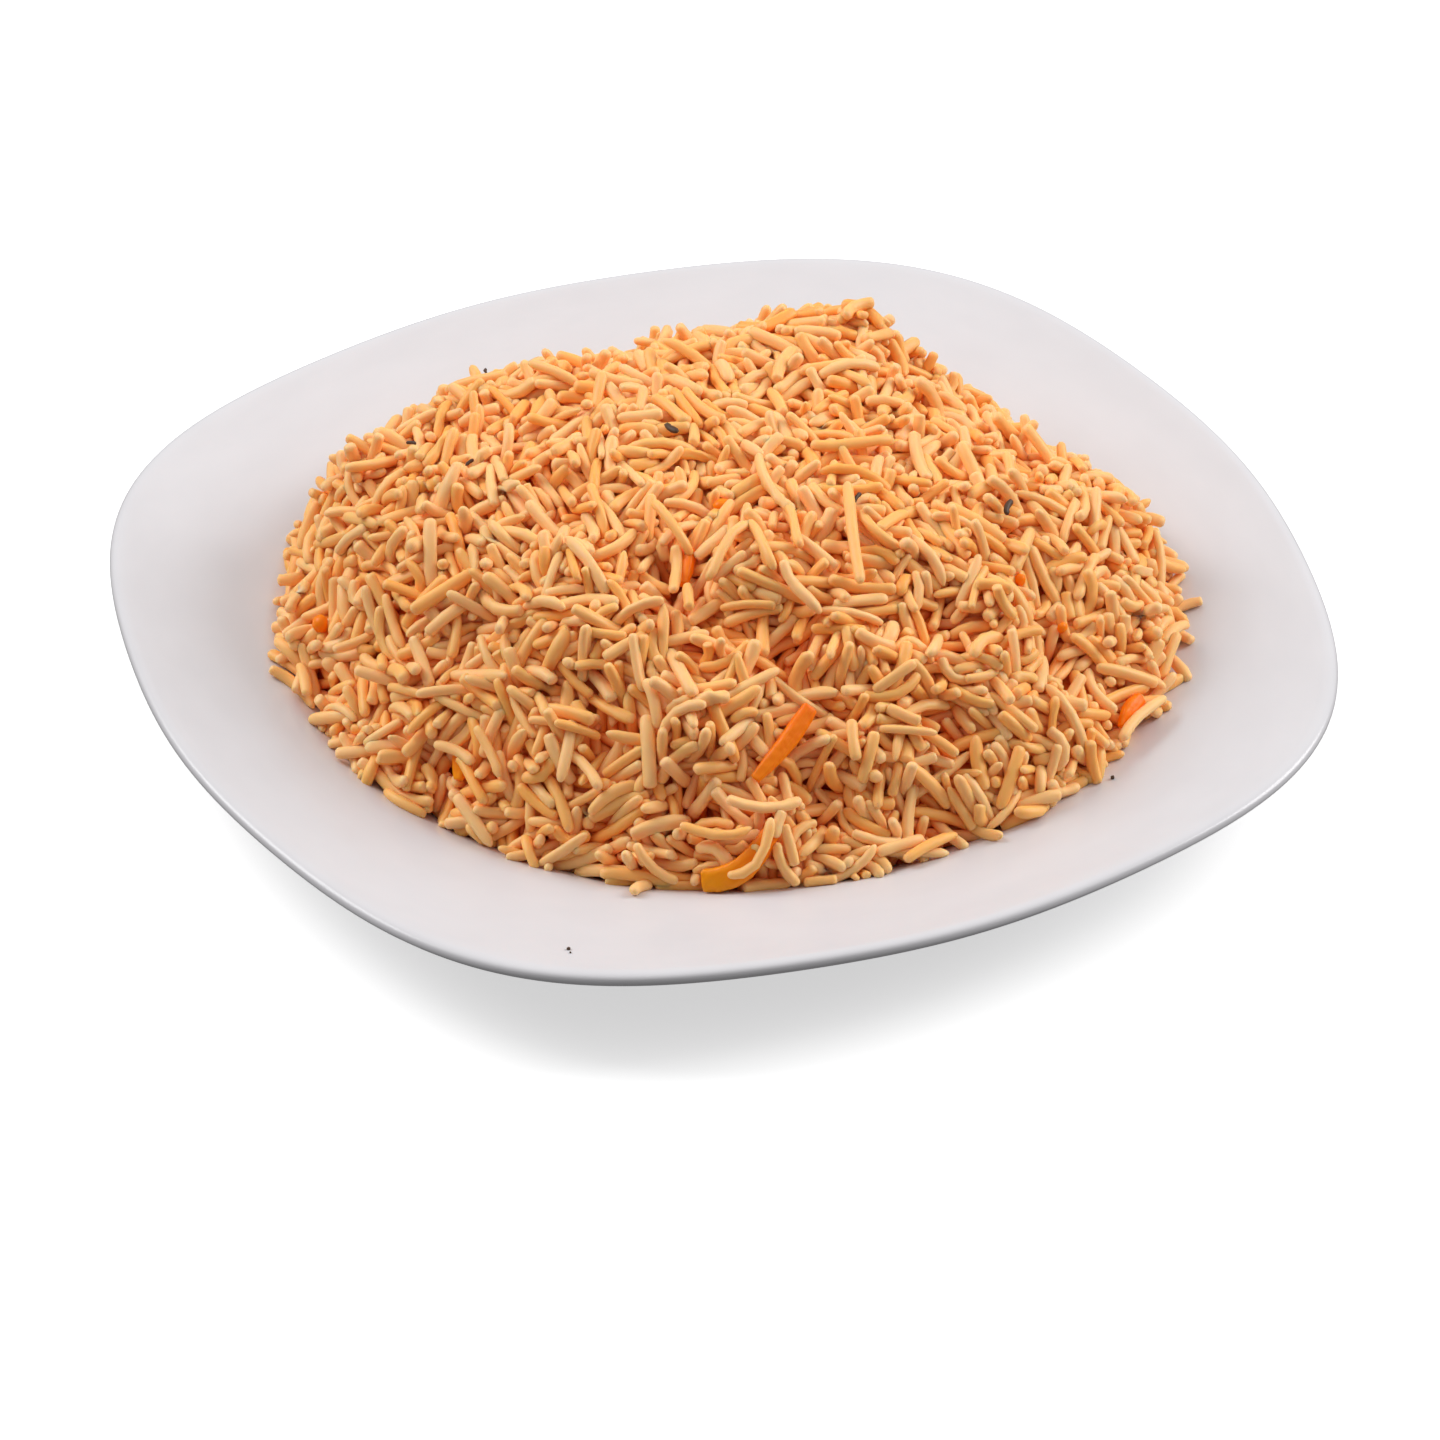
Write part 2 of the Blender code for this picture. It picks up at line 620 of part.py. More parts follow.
def carrot_mesh(name):
    """A cut strip with softened long edges, a little narrower towards its ends."""
    _, _, width, thickness, _, _ = carrot_sizes(name)
    level, normal = carrot_path(name)
    ahead = np.gradient(level, axis=0)
    ahead /= np.linalg.norm(ahead, axis=1, keepdims=True)
    side = np.cross(normal, ahead)
    side /= np.linalg.norm(side, axis=1, keepdims=True)
    soft = CARROT_SOFTNESS
    upper = ((1, -soft), (1, soft), (soft, 1), (-soft, 1))
    corners = upper + tuple((-a, -b) for a, b in upper)
    rings = []
    for row, share in enumerate(np.linspace(0, 1, CARROT_STOPS)):
        taper = 1 - CARROT_TAPER * (share - CARROT_WIDEST) ** 2
        across = side[row] * width / 2 * taper
        outward = normal[row] * thickness / 2 * taper
        rings.append([level[row] + across * a + outward * b for a, b in corners])
    mesh = loft(name, rings)
    lift_off_plate(mesh)
    return mesh


def swollen(mesh, distance):
    """A copy that stands off the mesh by at least the distance all round."""
    shape = bmesh.new()
    shape.from_mesh(mesh)
    shape.normal_update()
    for vert in shape.verts:
        blunt = max(BLUNTEST, min(vert.normal.dot(face.normal) for face in vert.link_faces))
        vert.co += vert.normal * (distance / blunt)
    larger = bpy.data.meshes.new(mesh.name)
    shape.to_mesh(larger)
    shape.free()
    return larger


def carrot_points():
    """Points along the middle of every strip, which bumps and grains keep clear of."""
    return np.concatenate([carrot_path(name)[0] for name in CARROTS])


# ---------------------------------------------------------------- joining


def apply_boolean(target, operation, pieces):
    """One Boolean with a whole collection, applied, after which the collection and its objects go."""
    modifier = target.modifiers.new(operation.lower(), "BOOLEAN")
    modifier.operation = operation
    modifier.operand_type = "COLLECTION"
    modifier.collection = pieces
    modifier.solver = "MANIFOLD"
    graph = bpy.context.evaluated_depsgraph_get()
    joined = bpy.data.meshes.new_from_object(target.evaluated_get(graph))
    target.modifiers.clear()
    target.data = joined
    for piece in list(pieces.objects):
        bpy.data.objects.remove(piece)
    bpy.data.collections.remove(pieces)


def keep_outer_skin(mesh):
    """Keeps the one island of faces that spans the heap: sealed hollows fill, and loose scraps go."""
    shape = bmesh.new()
    shape.from_mesh(mesh)
    left = set(shape.verts)
    islands = []
    while left:
        front = [left.pop()]
        island = set(front)
        while front:
            for edge in front.pop().link_edges:
                for vert in edge.verts:
                    if vert in left:
                        left.discard(vert)
                        island.add(vert)
                        front.append(vert)
        islands.append(island)
    skin = max(islands, key=len)
    bmesh.ops.delete(shape, geom=[vert for vert in shape.verts if vert not in skin], context="VERTS")
    shape.to_mesh(mesh)
    shape.free()


def make_rice(home, surface):
    rice = add_object("rice", heap_core(), home, surface)
    pieces = collection("pieces_to_fuse")
    keep_clear = carrot_points()
    add_whole_grains(pieces, keep_clear)
    add_cumin(pieces, keep_clear)
    apply_boolean(rice, "UNION", pieces)
    nests = collection("cutters")
    for name in CARROTS:
        nest = add_object(f"nest_{name}", swollen(carrot_mesh(name), CARROT_GAP), nests)
        nest.hide_render = True
        nest.display_type = "WIRE"
    apply_boolean(rice, "DIFFERENCE", nests)
    keep_outer_skin(rice.data)
    return rice


def make_carrots(home, surface):
    for name in CARROTS:
        add_object(name, carrot_mesh(name), home, surface)


def main():
    clear_scene()
    home = collection("bukhari_rice")
    make_plate(home, material("porcelain", (0.80, 0.77, 0.77), 0.25))
    make_rice(home, material("rice", (0.76, 0.36, 0.12), 0.45))
    make_carrots(home, material("carrot", (0.78, 0.20, 0.02), 0.4))


main()
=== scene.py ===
# %% [markdown]
# # A plate of bukhari rice
#
# The solids of the plate, the heap and the carrot strips come from the CAD part, already in
# their real place and size. This lesson dresses them: the heap becomes some 3,600 loose
# grains lying on a core of their own, the plate gets its glaze, the carrot its flesh.
#
# Everything is in metres, as in the part.

# %% Load the frame
import math
import time

import bmesh
import bpy
import numpy as np
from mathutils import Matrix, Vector
from mathutils.bvhtree import BVHTree
from mathutils.kdtree import KDTree


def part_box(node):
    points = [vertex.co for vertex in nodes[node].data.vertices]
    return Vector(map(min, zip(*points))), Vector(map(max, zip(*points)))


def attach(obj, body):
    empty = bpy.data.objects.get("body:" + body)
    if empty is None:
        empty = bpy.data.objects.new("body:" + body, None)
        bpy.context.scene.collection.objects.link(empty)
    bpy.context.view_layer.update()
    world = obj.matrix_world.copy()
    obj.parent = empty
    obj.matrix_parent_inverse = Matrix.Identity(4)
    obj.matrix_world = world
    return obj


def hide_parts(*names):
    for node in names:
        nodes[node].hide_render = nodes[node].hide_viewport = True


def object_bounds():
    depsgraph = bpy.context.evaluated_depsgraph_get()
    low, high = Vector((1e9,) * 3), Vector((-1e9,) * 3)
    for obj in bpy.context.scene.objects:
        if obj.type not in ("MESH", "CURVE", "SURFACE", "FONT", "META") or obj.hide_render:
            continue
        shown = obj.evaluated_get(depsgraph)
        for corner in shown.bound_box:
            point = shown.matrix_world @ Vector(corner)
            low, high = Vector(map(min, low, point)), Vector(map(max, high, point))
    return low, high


MM = 0.001
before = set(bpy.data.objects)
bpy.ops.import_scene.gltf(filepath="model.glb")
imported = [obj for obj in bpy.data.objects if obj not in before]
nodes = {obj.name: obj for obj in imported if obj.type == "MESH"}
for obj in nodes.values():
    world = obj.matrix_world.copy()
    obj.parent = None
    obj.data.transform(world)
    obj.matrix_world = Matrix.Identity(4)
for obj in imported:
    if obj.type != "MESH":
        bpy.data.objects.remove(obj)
cad_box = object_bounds()
print("nodes of the frame:", ", ".join(sorted(nodes)))

# %% [markdown]
# ## Small helpers for meshes and numbers
#
# Blender can build a mesh one element at a time with bmesh, or take whole lists at once with
# `from_pydata`. Thousands of grains are made as numpy arrays, so the second way is the quick
# one. Each vertex also carries a few named numbers, such as how red its grain is: a material
# reads them with an Attribute node, and so one material can colour every grain differently.

# %% Mesh helpers
rng = np.random.default_rng(1503)


def add_object(name, data):
    """A new object in the scene that shows this mesh, lamp or camera."""
    thing = bpy.data.objects.new(name, data)
    bpy.context.scene.collection.objects.link(thing)
    return thing


def shade_smooth(mesh):
    """Faces shaded as one curved surface."""
    mesh.polygons.foreach_set("use_smooth", [True] * len(mesh.polygons))


def add_numbers(mesh, numbers):
    """Named numbers, one for each vertex, for a material to read."""
    for key, values in numbers.items():
        layer = mesh.attributes.new(key, "FLOAT", "POINT")
        layer.data.foreach_set("value", np.asarray(values, np.float32))


def new_mesh(name, points, faces, numbers=None):
    """A smooth mesh object from arrays, with its numbers."""
    mesh = bpy.data.meshes.new(name)
    mesh.from_pydata(np.asarray(points).tolist(), [], [list(face) for face in faces])
    mesh.update()
    shade_smooth(mesh)
    add_numbers(mesh, numbers or {})
    return add_object(name, mesh)


def unit(rows):
    """Each row scaled to length one."""
    return rows / np.maximum(np.linalg.norm(rows, axis=-1, keepdims=True), 1e-12)


def triangle_count(piece):
    """How many triangles a piece has."""
    piece.data.calc_loop_triangles()
    return len(piece.data.loop_triangles)


def tree_of(node):
    """A search tree of a CAD node's faces, for casting rays at it."""
    mesh = nodes[node].data
    corners = [tuple(v.co) for v in mesh.vertices]
    return BVHTree.FromPolygons(corners, [tuple(p.vertices) for p in mesh.polygons])


# %% [markdown]
# ## The camera
#
# The view is a product shot: a long lens from a few metres away, looking down at the plate
# by a little over thirty degrees, so the round heap keeps its shape and the plate's far side
# looks hardly smaller than its near side. The camera's place is worked out from those angles.
# The same two directions, to the right and away from the viewer, also serve below as axes
# for placing things on the heap, because a cook sees the heap from where the viewer stands.

# %% Camera
VIEW_AZIMUTH = math.radians(-25)
VIEW_ELEVATION = math.radians(36.5)
VIEW_DISTANCE = 2540 * MM
LENS_LENGTH = 302.7
RIM_HEIGHT = 24 * MM
AIM_BELOW_CENTRE = 24.7 * MM

right = np.array([math.cos(VIEW_AZIMUTH), math.sin(VIEW_AZIMUTH), 0])
away = np.array([-math.sin(VIEW_AZIMUTH), math.cos(VIEW_AZIMUTH), 0])
back = np.array([0, 0, math.sin(VIEW_ELEVATION)]) - away * math.cos(VIEW_ELEVATION)
up = np.cross(back, right)
aim = np.array([0, 0, RIM_HEIGHT]) - up * AIM_BELOW_CENTRE

camera = add_object("camera", bpy.data.cameras.new("camera"))
camera.data.lens = LENS_LENGTH
camera.data.clip_start = 0.1
camera.location = aim + back * VIEW_DISTANCE
camera.rotation_euler = Vector(-back).to_track_quat("-Z", "Y").to_euler()
bpy.context.scene.camera = camera


def on_heap(x, y):
    """A place given to the right and away from the viewer, as x and y of the part."""
    return (right * x + away * y)[:2]


print("camera at", np.round(aim + back * VIEW_DISTANCE, 3))

# %% [markdown]
# ## The skin of the heap
#
# The grains have to follow the CAD heap: its outline, its lumps and its hollows. To ask how
# far a point is above or below the heap's skin, rays are shot at the solid from a globe of
# directions round a point under its middle, and the distances are kept in a small table
# over heading and height. Blurring the table takes out the grain-sized bumps of the solid,
# because the real grains will make those.

# %% Blur for tables
def blur(table, width):
    """A Gaussian blur of a table over (heading, height); the headings go all the way round."""
    reach = int(3 * width)
    weights = np.exp(-0.5 * (np.arange(-reach, reach + 1) / width) ** 2)
    weights /= weights.sum()
    for axis, mode in ((0, "wrap"), (1, "edge")):
        pads = [(0, 0), (0, 0)]
        pads[axis] = (reach, reach)
        padded = np.pad(table, pads, mode=mode)
        size = table.shape[axis]
        table = sum(
            weight * np.take(padded, range(i, i + size), axis=axis)
            for i, weight in enumerate(weights)
        )
    return table


# %% Cast rays at the heap
SKIN_CENTRE = np.array([0.0, 0.0, 0.0])
HEADINGS = 240
HEIGHTS = 80
LOWEST = math.radians(8)
GLOBE_REACH = 200 * MM


def cast_skin():
    """Distances from the centre to the heap's outer skin, over heading and height."""
    tree = tree_of("rice")
    table = np.full((HEADINGS, HEIGHTS), np.nan)
    for i, heading in enumerate(np.linspace(0, 2 * math.pi, HEADINGS, endpoint=False)):
        for j, height in enumerate(np.linspace(LOWEST, math.pi / 2, HEIGHTS)):
            level = math.cos(height)
            ray = np.array([math.cos(heading) * level, math.sin(heading) * level, math.sin(height)])
            start = Vector(SKIN_CENTRE + ray * GLOBE_REACH)
            hit, normal, _, distance = tree.ray_cast(start, Vector(-ray))
            if hit is not None and normal.z > 0:
                table[i, j] = GLOBE_REACH - distance
        missing = np.isnan(table[i])
        table[i, missing] = table[i, ~missing][0]
    return table


# %% Skin of the heap
SKIN_BLUR = 1.5
skin = blur(cast_skin(), SKIN_BLUR)
print("skin from", np.round(skin.min() / MM, 1), "to", np.round(skin.max() / MM, 1), "mm")


def read_table(table, points):
    """Values of a table at the directions of points, blended between its entries."""
    offset = points - SKIN_CENTRE
    level = np.hypot(offset[:, 0], offset[:, 1])
    heading = np.arctan2(offset[:, 1], offset[:, 0]) % (2 * math.pi)
    height = np.arctan2(offset[:, 2], level)
    i = heading / (2 * math.pi) * HEADINGS
    j = np.clip((height - LOWEST) / (math.pi / 2 - LOWEST), 0, 1) * (HEIGHTS - 1)
    i0 = np.floor(i).astype(int)
    j0 = np.minimum(np.floor(j).astype(int), HEIGHTS - 2)
    u = (i - i0).reshape(-1, *[1] * (table.ndim - 2))
    v = (j - j0).reshape(-1, *[1] * (table.ndim - 2))
    i0, i1 = i0 % HEADINGS, (i0 + 1) % HEADINGS
    low = table[i0, j0] * (1 - u) + table[i1, j0] * u
    high = table[i0, j0 + 1] * (1 - u) + table[i1, j0 + 1] * u
    return low * (1 - v) + high * v


# %% [markdown]
# The table gives points on the skin, and the two directions along it at each entry give its
# outward normal by a cross product. Before that, low lumps are added at random.

# %% Lumps on the skin
def skin_rays():
    """The direction of each entry of the table."""
    headings = np.linspace(0, 2 * math.pi, HEADINGS, endpoint=False)[:, None]
    heights = np.linspace(LOWEST, math.pi / 2, HEIGHTS)[None, :]
    level = np.cos(heights)
    flat = [np.cos(headings) * level, np.sin(headings) * level, np.sin(heights) + 0 * headings]
    return np.stack(flat, axis=-1)


LUMPS = 150
LUMP_RISE = 1.1 * MM
LUMP_SPREAD = (3.5, 7)


def add_lumps(table, points):
    """Small rises and dips, where a few grains have stuck together or fallen apart."""
    flat = points.reshape(-1, 3)
    rise = np.zeros(len(flat))
    for middle in rng.integers(0, len(flat), LUMPS):
        spread = rng.uniform(*LUMP_SPREAD) * MM
        near = ((flat - flat[middle]) ** 2).sum(1) / spread**2
        rise += rng.uniform(-1, 1) * LUMP_RISE * np.exp(-near)
    return table + rise.reshape(table.shape)


rays = skin_rays()
skin = add_lumps(skin, SKIN_CENTRE + rays * skin[..., None])

# %% Normals of the skin
skin_points = SKIN_CENTRE + rays * skin[..., None]
round_it = np.roll(skin_points, -1, axis=0) - np.roll(skin_points, 1, axis=0)
up_it = np.gradient(skin_points, axis=1)
skin_normals = unit(np.cross(round_it, up_it))
skin_normals[:, -1] = [0, 0, 1]
skin_normals[:, -2] = unit(skin_normals[:, -3] + [0, 0, 1])


def above_skin(points):
    """How far points are above the skin along its normal, and that normal."""
    offset = points - SKIN_CENTRE
    normal = unit(read_table(skin_normals, points))
    far = np.linalg.norm(offset, axis=1)
    slope = np.einsum("ij,ij->i", normal, offset / far[:, None])
    return (far - read_table(skin, points)) * slope, normal


print("steepest skin", np.round(np.degrees(np.arccos(skin_normals[..., 2].min()))), "degrees")

# %% [markdown]
# ## The plate as a floor for grains
#
# Grains at the heap's foot lie on the plate, so the plate's top is kept as a second table:
# heights on a square grid, read by casting rays straight down on the CAD plate.

# %% Heights of the plate
PLATE_GRID = 2 * MM
PLATE_REACH = 126 * MM


def cast_plate():
    """Heights of the plate on the grid, by rays cast down from a metre above it."""
    tree = tree_of("plate")
    marks = np.arange(-PLATE_REACH, PLATE_REACH + PLATE_GRID, PLATE_GRID)
    table = np.zeros((len(marks), len(marks)))
    for i, x in enumerate(marks):
        for j, y in enumerate(marks):
            hit = tree.ray_cast(Vector((x, y, 1)), Vector((0, 0, -1)))[0]
            table[i, j] = hit.z if hit is not None else 0
    return table


plate_table = cast_plate()


def plate_height(points):
    """Height of the plate's top under points, blended between the table's entries."""
    place = (points[:, :2] + PLATE_REACH) / PLATE_GRID
    place = np.clip(place, 0, plate_table.shape[0] - 1.001)
    i, j = np.floor(place).astype(int).T
    u, v = (place - np.floor(place)).T
    low = plate_table[i, j] * (1 - u) + plate_table[i + 1, j] * u
    high = plate_table[i, j + 1] * (1 - u) + plate_table[i + 1, j + 1] * u
    return low * (1 - v) + high * v


print("rim of the plate", round(plate_table.max() / MM, 1), "mm above the table")

# %% [markdown]
# ## Grains of rice
#
# A cooked basmati grain is a slender, slightly bowed spindle, about five times as long as it
# is wide. Here each grain is first a chain of six beads. Beads are easy to keep apart, so a
# heap of chains can settle like a heap of real grains, and only afterwards is each chain
# dressed with a smooth skin of its own.
#
# Cooked rice doesn't lie in all directions at random: it sticks together in small bundles
# that point the same way. So a direction is drawn for each patch of the heap, and each grain
# turns a little away from its patch's direction.

# %% Places on the heap
def draw_places(count):
    """Points spread evenly over the skin, by keeping table entries by their area."""
    across = np.linalg.norm(np.cross(round_it, up_it), axis=-1).ravel()
    seen = (skin_points[..., 2] > plate_height(skin_points.reshape(-1, 3)).reshape(skin.shape))
    odds = across * seen.ravel()
    chosen = rng.choice(odds.size, count, p=odds / odds.sum())
    i, j = np.divmod(chosen, HEIGHTS)
    spread = rng.uniform(-0.5, 0.5, (count, 2))
    heading = (i + spread[:, 0]) / HEADINGS * 2 * math.pi
    row = np.clip(j + spread[:, 1], 0, HEIGHTS - 1)
    height = LOWEST + row / (HEIGHTS - 1) * (math.pi / 2 - LOWEST)
    level = np.cos(height)
    ray = np.stack([np.cos(heading) * level, np.sin(heading) * level, np.sin(height)], axis=1)
    return SKIN_CENTRE + ray * read_table(skin, ray)[:, None]


PATCHES = 420
PATCH_DISORDER = 0.32
LOOSE_SHARE = 0.3
LOOSE_DISORDER = 1.5


def patch_turns(places):
    """A heading for each grain: that of the nearest patch, with a little disorder."""
    seeds = draw_places(PATCHES)
    turns = rng.uniform(0, math.pi, PATCHES)
    gap = ((places[:, None] - seeds[None]) ** 2).sum(-1)
    spread = np.where(rng.random(len(places)) < LOOSE_SHARE, LOOSE_DISORDER, PATCH_DISORDER)
    return turns[gap.argmin(1)] + rng.normal(0, 1, len(places)) * spread


# %% [markdown]
# The heap isn't even: between its lumps are hollows that reach deeper, where the light hardly
# comes. Each is a smooth dip round a place on the heap.

# %% Hollows
# Right and away from the viewer, in millimetres, of the gaps between the lumps of the heap
HOLLOWS = [(-51, -39), (-23, -64), (-3, -45), (-10, -31), (-3, -77), (-58, -61), (-44, -75),
           (23, -76), (43, -74), (47, -38), (69, -33), (15, -51), (47, -60), (-21, -79),
           (4, -17), (-33, -13), (-68, 12), (44, -12)]
HOLLOW_WIDTH = 5.2 * MM
HOLLOW_DEPTH = 6.0 * MM


def hollow_depth(points):
    """How much deeper the heap is at points, for the gaps that show between its lumps."""
    deep = np.zeros(len(points))
    for x, y in HOLLOWS:
        near = np.linalg.norm(points[:, :2] - on_heap(x * MM, y * MM), axis=1)
        deep = np.maximum(deep, HOLLOW_DEPTH * np.exp(-((near / HOLLOW_WIDTH) ** 2)))
    return deep


print(len(HOLLOWS), "hollows,", round(HOLLOW_DEPTH / MM, 1), "mm deep")

# %% [markdown]
# A chain needs a middle, a direction along the skin, a length, a width and a bow. The sag of
# a bowed grain is a parabola: nothing at its ends and most in its middle.

# %% Chains of beads
BEADS = 6


def lay_chains(centres, normal, lie, length, width, bow):
    """Chains of beads of that length round their centres, bowed to one side."""
    aside = np.cross(lie, normal) * rng.choice([-1, 1], len(lie))[:, None]
    bend_to = unit(aside + rng.normal(0, 0.6, lie.shape))
    bend_to = unit(bend_to - lie * np.einsum("ij,ij->i", bend_to, lie)[:, None])
    along = np.linspace(-0.5, 0.5, BEADS)
    straight = lie[:, None] * (along[None, :, None] * (length - width)[:, None, None])
    sag = (0.25 - along**2)[None, :, None] * (bow * length)[:, None, None] * 4
    return centres[:, None] + straight + bend_to[:, None] * sag


def tangents(normal, turn):
    """Directions along the skin, at a heading round each normal."""
    side = unit(np.cross(normal, [0.3, 0.2, 1.0]))
    front = np.cross(normal, side)
    return side * np.cos(turn)[:, None] + front * np.sin(turn)[:, None]


# %% [markdown]
# Now all the grains are drawn. Most are whole and lie nearly flat, some stand steeply, some
# are broken and some strongly bent. A few more lie round the foot of the heap, on the plate.

# %% Sizes and kinds of grain
GRAIN_WIDTH = 2.58 * MM
WIDTH_SPREAD = 0.09
WIDTH_LIMITS = (0.78, 1.2)
# Mean and spread of whole grains, and limits of whole and broken ones, in millimetres
WHOLE_LENGTH = (11.8, 2.3)
WHOLE_LIMITS = (7.5, 17)
BROKEN_LIMITS = (4.8, 8.0)
BROKEN_SHARE = 0.18
# How far a grain bows out, as a share of its length
LEAST_BOW = 0.015
BOW_SPREAD = 0.045
BENT_SHARE = 0.25
BENT_LIMITS = (0.08, 0.15)
BROKEN, BOWED, SPLIT, FULL, SLENDER, CUMIN = 0, 1, 2, 3, 4, 9
WHOLE_KINDS = {SPLIT: 0.2, FULL: 0.4, SLENDER: 0.4}


def draw_sizes(many):
    """Lengths, widths, bows and kinds of that many grains."""
    length = np.clip(rng.normal(*WHOLE_LENGTH, many), *WHOLE_LIMITS) * MM
    broken = rng.random(many) < BROKEN_SHARE
    length[broken] = rng.uniform(*BROKEN_LIMITS, broken.sum()) * MM
    width = GRAIN_WIDTH * np.clip(rng.normal(1.0, WIDTH_SPREAD, many), *WIDTH_LIMITS)
    bow = np.abs(rng.normal(0, BOW_SPREAD, many)) + LEAST_BOW
    bent = rng.random(many) < BENT_SHARE
    bow[bent] = rng.uniform(*BENT_LIMITS, bent.sum())
    other = rng.choice(list(WHOLE_KINDS), many, p=list(WHOLE_KINDS.values()))
    kinds = np.where(broken, BROKEN, np.where(bent, BOWED, other))
    return length, width, bow, kinds


# %% Draw the grains
GRAINS = 3650
PILE_DEPTH = 6.4 * MM
FLAT_LEAN = math.radians(14)
STEEP_SHARE = 0.34
STEEP_LEAN = (0.6, 1.5)
EDGE_GRAINS = 150
EDGE_OUTSIDE = (-3.0 * MM, 1.6 * MM)
EDGE_HEIGHT = (1.5, 4)
FOOT_SLOPE = 0.2


def draw_grains():
    """Chains of beads in the pile, with their lengths, widths and kinds."""
    places = draw_places(GRAINS + EDGE_GRAINS)
    at_edge = np.arange(len(places)) >= GRAINS
    heading = rng.uniform(0, 2 * math.pi, EDGE_GRAINS)
    foot = np.stack([np.cos(heading), np.sin(heading), np.full(EDGE_GRAINS, FOOT_SLOPE)], axis=1)
    places[at_edge] = unit(foot) * read_table(skin, foot)[:, None]
    _, normal = above_skin(places)
    depth = rng.uniform(0.1, 1.0, len(places)) * PILE_DEPTH + hollow_depth(places)
    depth[at_edge] = -rng.uniform(*EDGE_OUTSIDE, EDGE_GRAINS)
    centres = places - normal * depth[:, None]
    off_plate = rng.uniform(*EDGE_HEIGHT, EDGE_GRAINS) * MM
    centres[at_edge, 2] = plate_height(centres[at_edge]) + off_plate
    lie = tangents(normal, patch_turns(places))
    lean = rng.normal(0, FLAT_LEAN, len(places))
    steep = rng.random(len(places)) < STEEP_SHARE
    lean[steep] = rng.choice([-1, 1], steep.sum()) * rng.uniform(*STEEP_LEAN, steep.sum())
    lie = unit(lie * np.cos(lean)[:, None] + normal * np.sin(lean)[:, None])
    flat_lie = np.stack([rng.normal(0, 1, EDGE_GRAINS), rng.normal(0, 1, EDGE_GRAINS),
                         rng.normal(0.1, 0.15, EDGE_GRAINS)], axis=1)
    lie[at_edge] = unit(flat_lie)
    length, width, bow, kinds = draw_sizes(len(places))
    return lay_chains(centres, normal, lie, length, width, bow), length, width, kinds


beads, grain_length, grain_width, grain_kind = draw_grains()
print(len(beads), "grains drawn, mean length", round(grain_length.mean() / MM, 1), "mm")

# %% [markdown]
# Some pieces have a place of their own: the seeds of cumin, the grains that lie over and beside
# the strips of carrot, a few long ones on the top, and those that slid off the heap. A laid
# grain is a curve through three points given to the right, away and up. The points are moved
# onto the skin, seen from the middle, and then raised a little; the rest of the pile later
# settles round these pieces.

# %% Places of the laid pieces
# Right and away from the viewer on the heap, heading in degrees, and length in millimetres
CUMIN_SEEDS = [(-10, 6.8, 118, 4.6), (58.7, -6.9, 80, 4.2), (-64, 14, 150, 2.6), (29, -15, 60, 2.8),
               (-48, 45, 100, 2.4), (-51, 3, 30, 2.2)]
# Three points in millimetres, how far the middle line is above the skin, and kind of grain
LAID_GRAINS = [
    ((2.4, -85.9, 19.9), (6.6, -84.9, 21.5), (8.9, -81.3, 26.7), 3.2, BOWED),
    ((11.4, -79.7, 28.3), (10.9, -80.6, 27.2), (10.4, -81.5, 26.0), 2.4, BROKEN),
    ((12.5, -81.2, 25.9), (13.5, -82.6, 23.7), (14.3, -83.9, 21.3), 2.0, FULL),
    ((11.0, -83.2, 23.4), (12.1, -84.5, 20.5), (14.3, -85.5, 17.9), 1.8, BOWED),
    ((-10.1, -28.7, 59.2), (-10.2, -35.0, 57.9), (-10.4, -40.7, 56.5), 2.0, FULL),
    ((-14.3, -18.4, 60.7), (-9.9, -23.8, 60.1), (-5.8, -29.1, 59.1), 2.6, FULL),
    ((-6.6, -41.2, 56.2), (-6.8, -43.1, 55.8), (-7.0, -44.8, 55.0), 2.0, BROKEN),
    ((-1.9, -39.2, 56.8), (1.4, -32.9, 58.1), (5.2, -24.5, 59.4), 3.2, FULL),
    ((6.0, -24.7, 59.2), (8.0, -30.5, 58.1), (9.7, -35.7, 56.9), 2.4, FULL),
    ((25.3, -12.2, 59.2), (26.7, -24.8, 57.1), (27.4, -36.7, 54.1), 3.0, BOWED),
    ((7.3, -2.9, 61.1), (9.3, -12.1, 60.4), (14.1, -19.6, 59.4), 3.0, BOWED),
    ((13.4, -20.3, 59.3), (14.7, -24.9, 58.5), (16.1, -29.3, 57.6), 2.8, FULL),
    ((12.3, -35.9, 56.7), (15.0, -40.6, 55.0), (18.9, -43.7, 53.3), 2.6, FULL),
    ((20.0, 1.9, 60.6), (27.1, 3.8, 60.0), (34.6, 6.4, 58.9), 2.6, FULL),
    ((86.7, -31.2, 21.2), (82.8, -37.5, 21.8), (79.4, -43.4, 21.3), 3.2, FULL),
    ((-63.0, -59.9, 29.5), (-59.2, -62.6, 30.0), (-55.5, -65.7, 29.5), 2.2, FULL),
    ((-58.8, -64.4, 28.3), (-55.5, -68.0, 26.9), (-52.0, -71.9, 24.5), 2.0, FULL),
    ((-52.2, -61.9, 35.6), (-50.1, -65.8, 32.9), (-48.0, -69.8, 30.0), 2.2, FULL),
    ((-16.4, -84.1, 23.1), (-13.3, -86.6, 20.0), (-9.6, -90.4, 18.6), 1.8, FULL),
    ((-7.0, -82.2, 26.6), (-0.6, -82.9, 25.7), (5.0, -81.6, 26.6), 1.6, FULL),
    ((2.5, -78.3, 31.3), (8.1, -79.2, 29.8), (14.5, -77.8, 30.0), 2.0, BOWED),
]
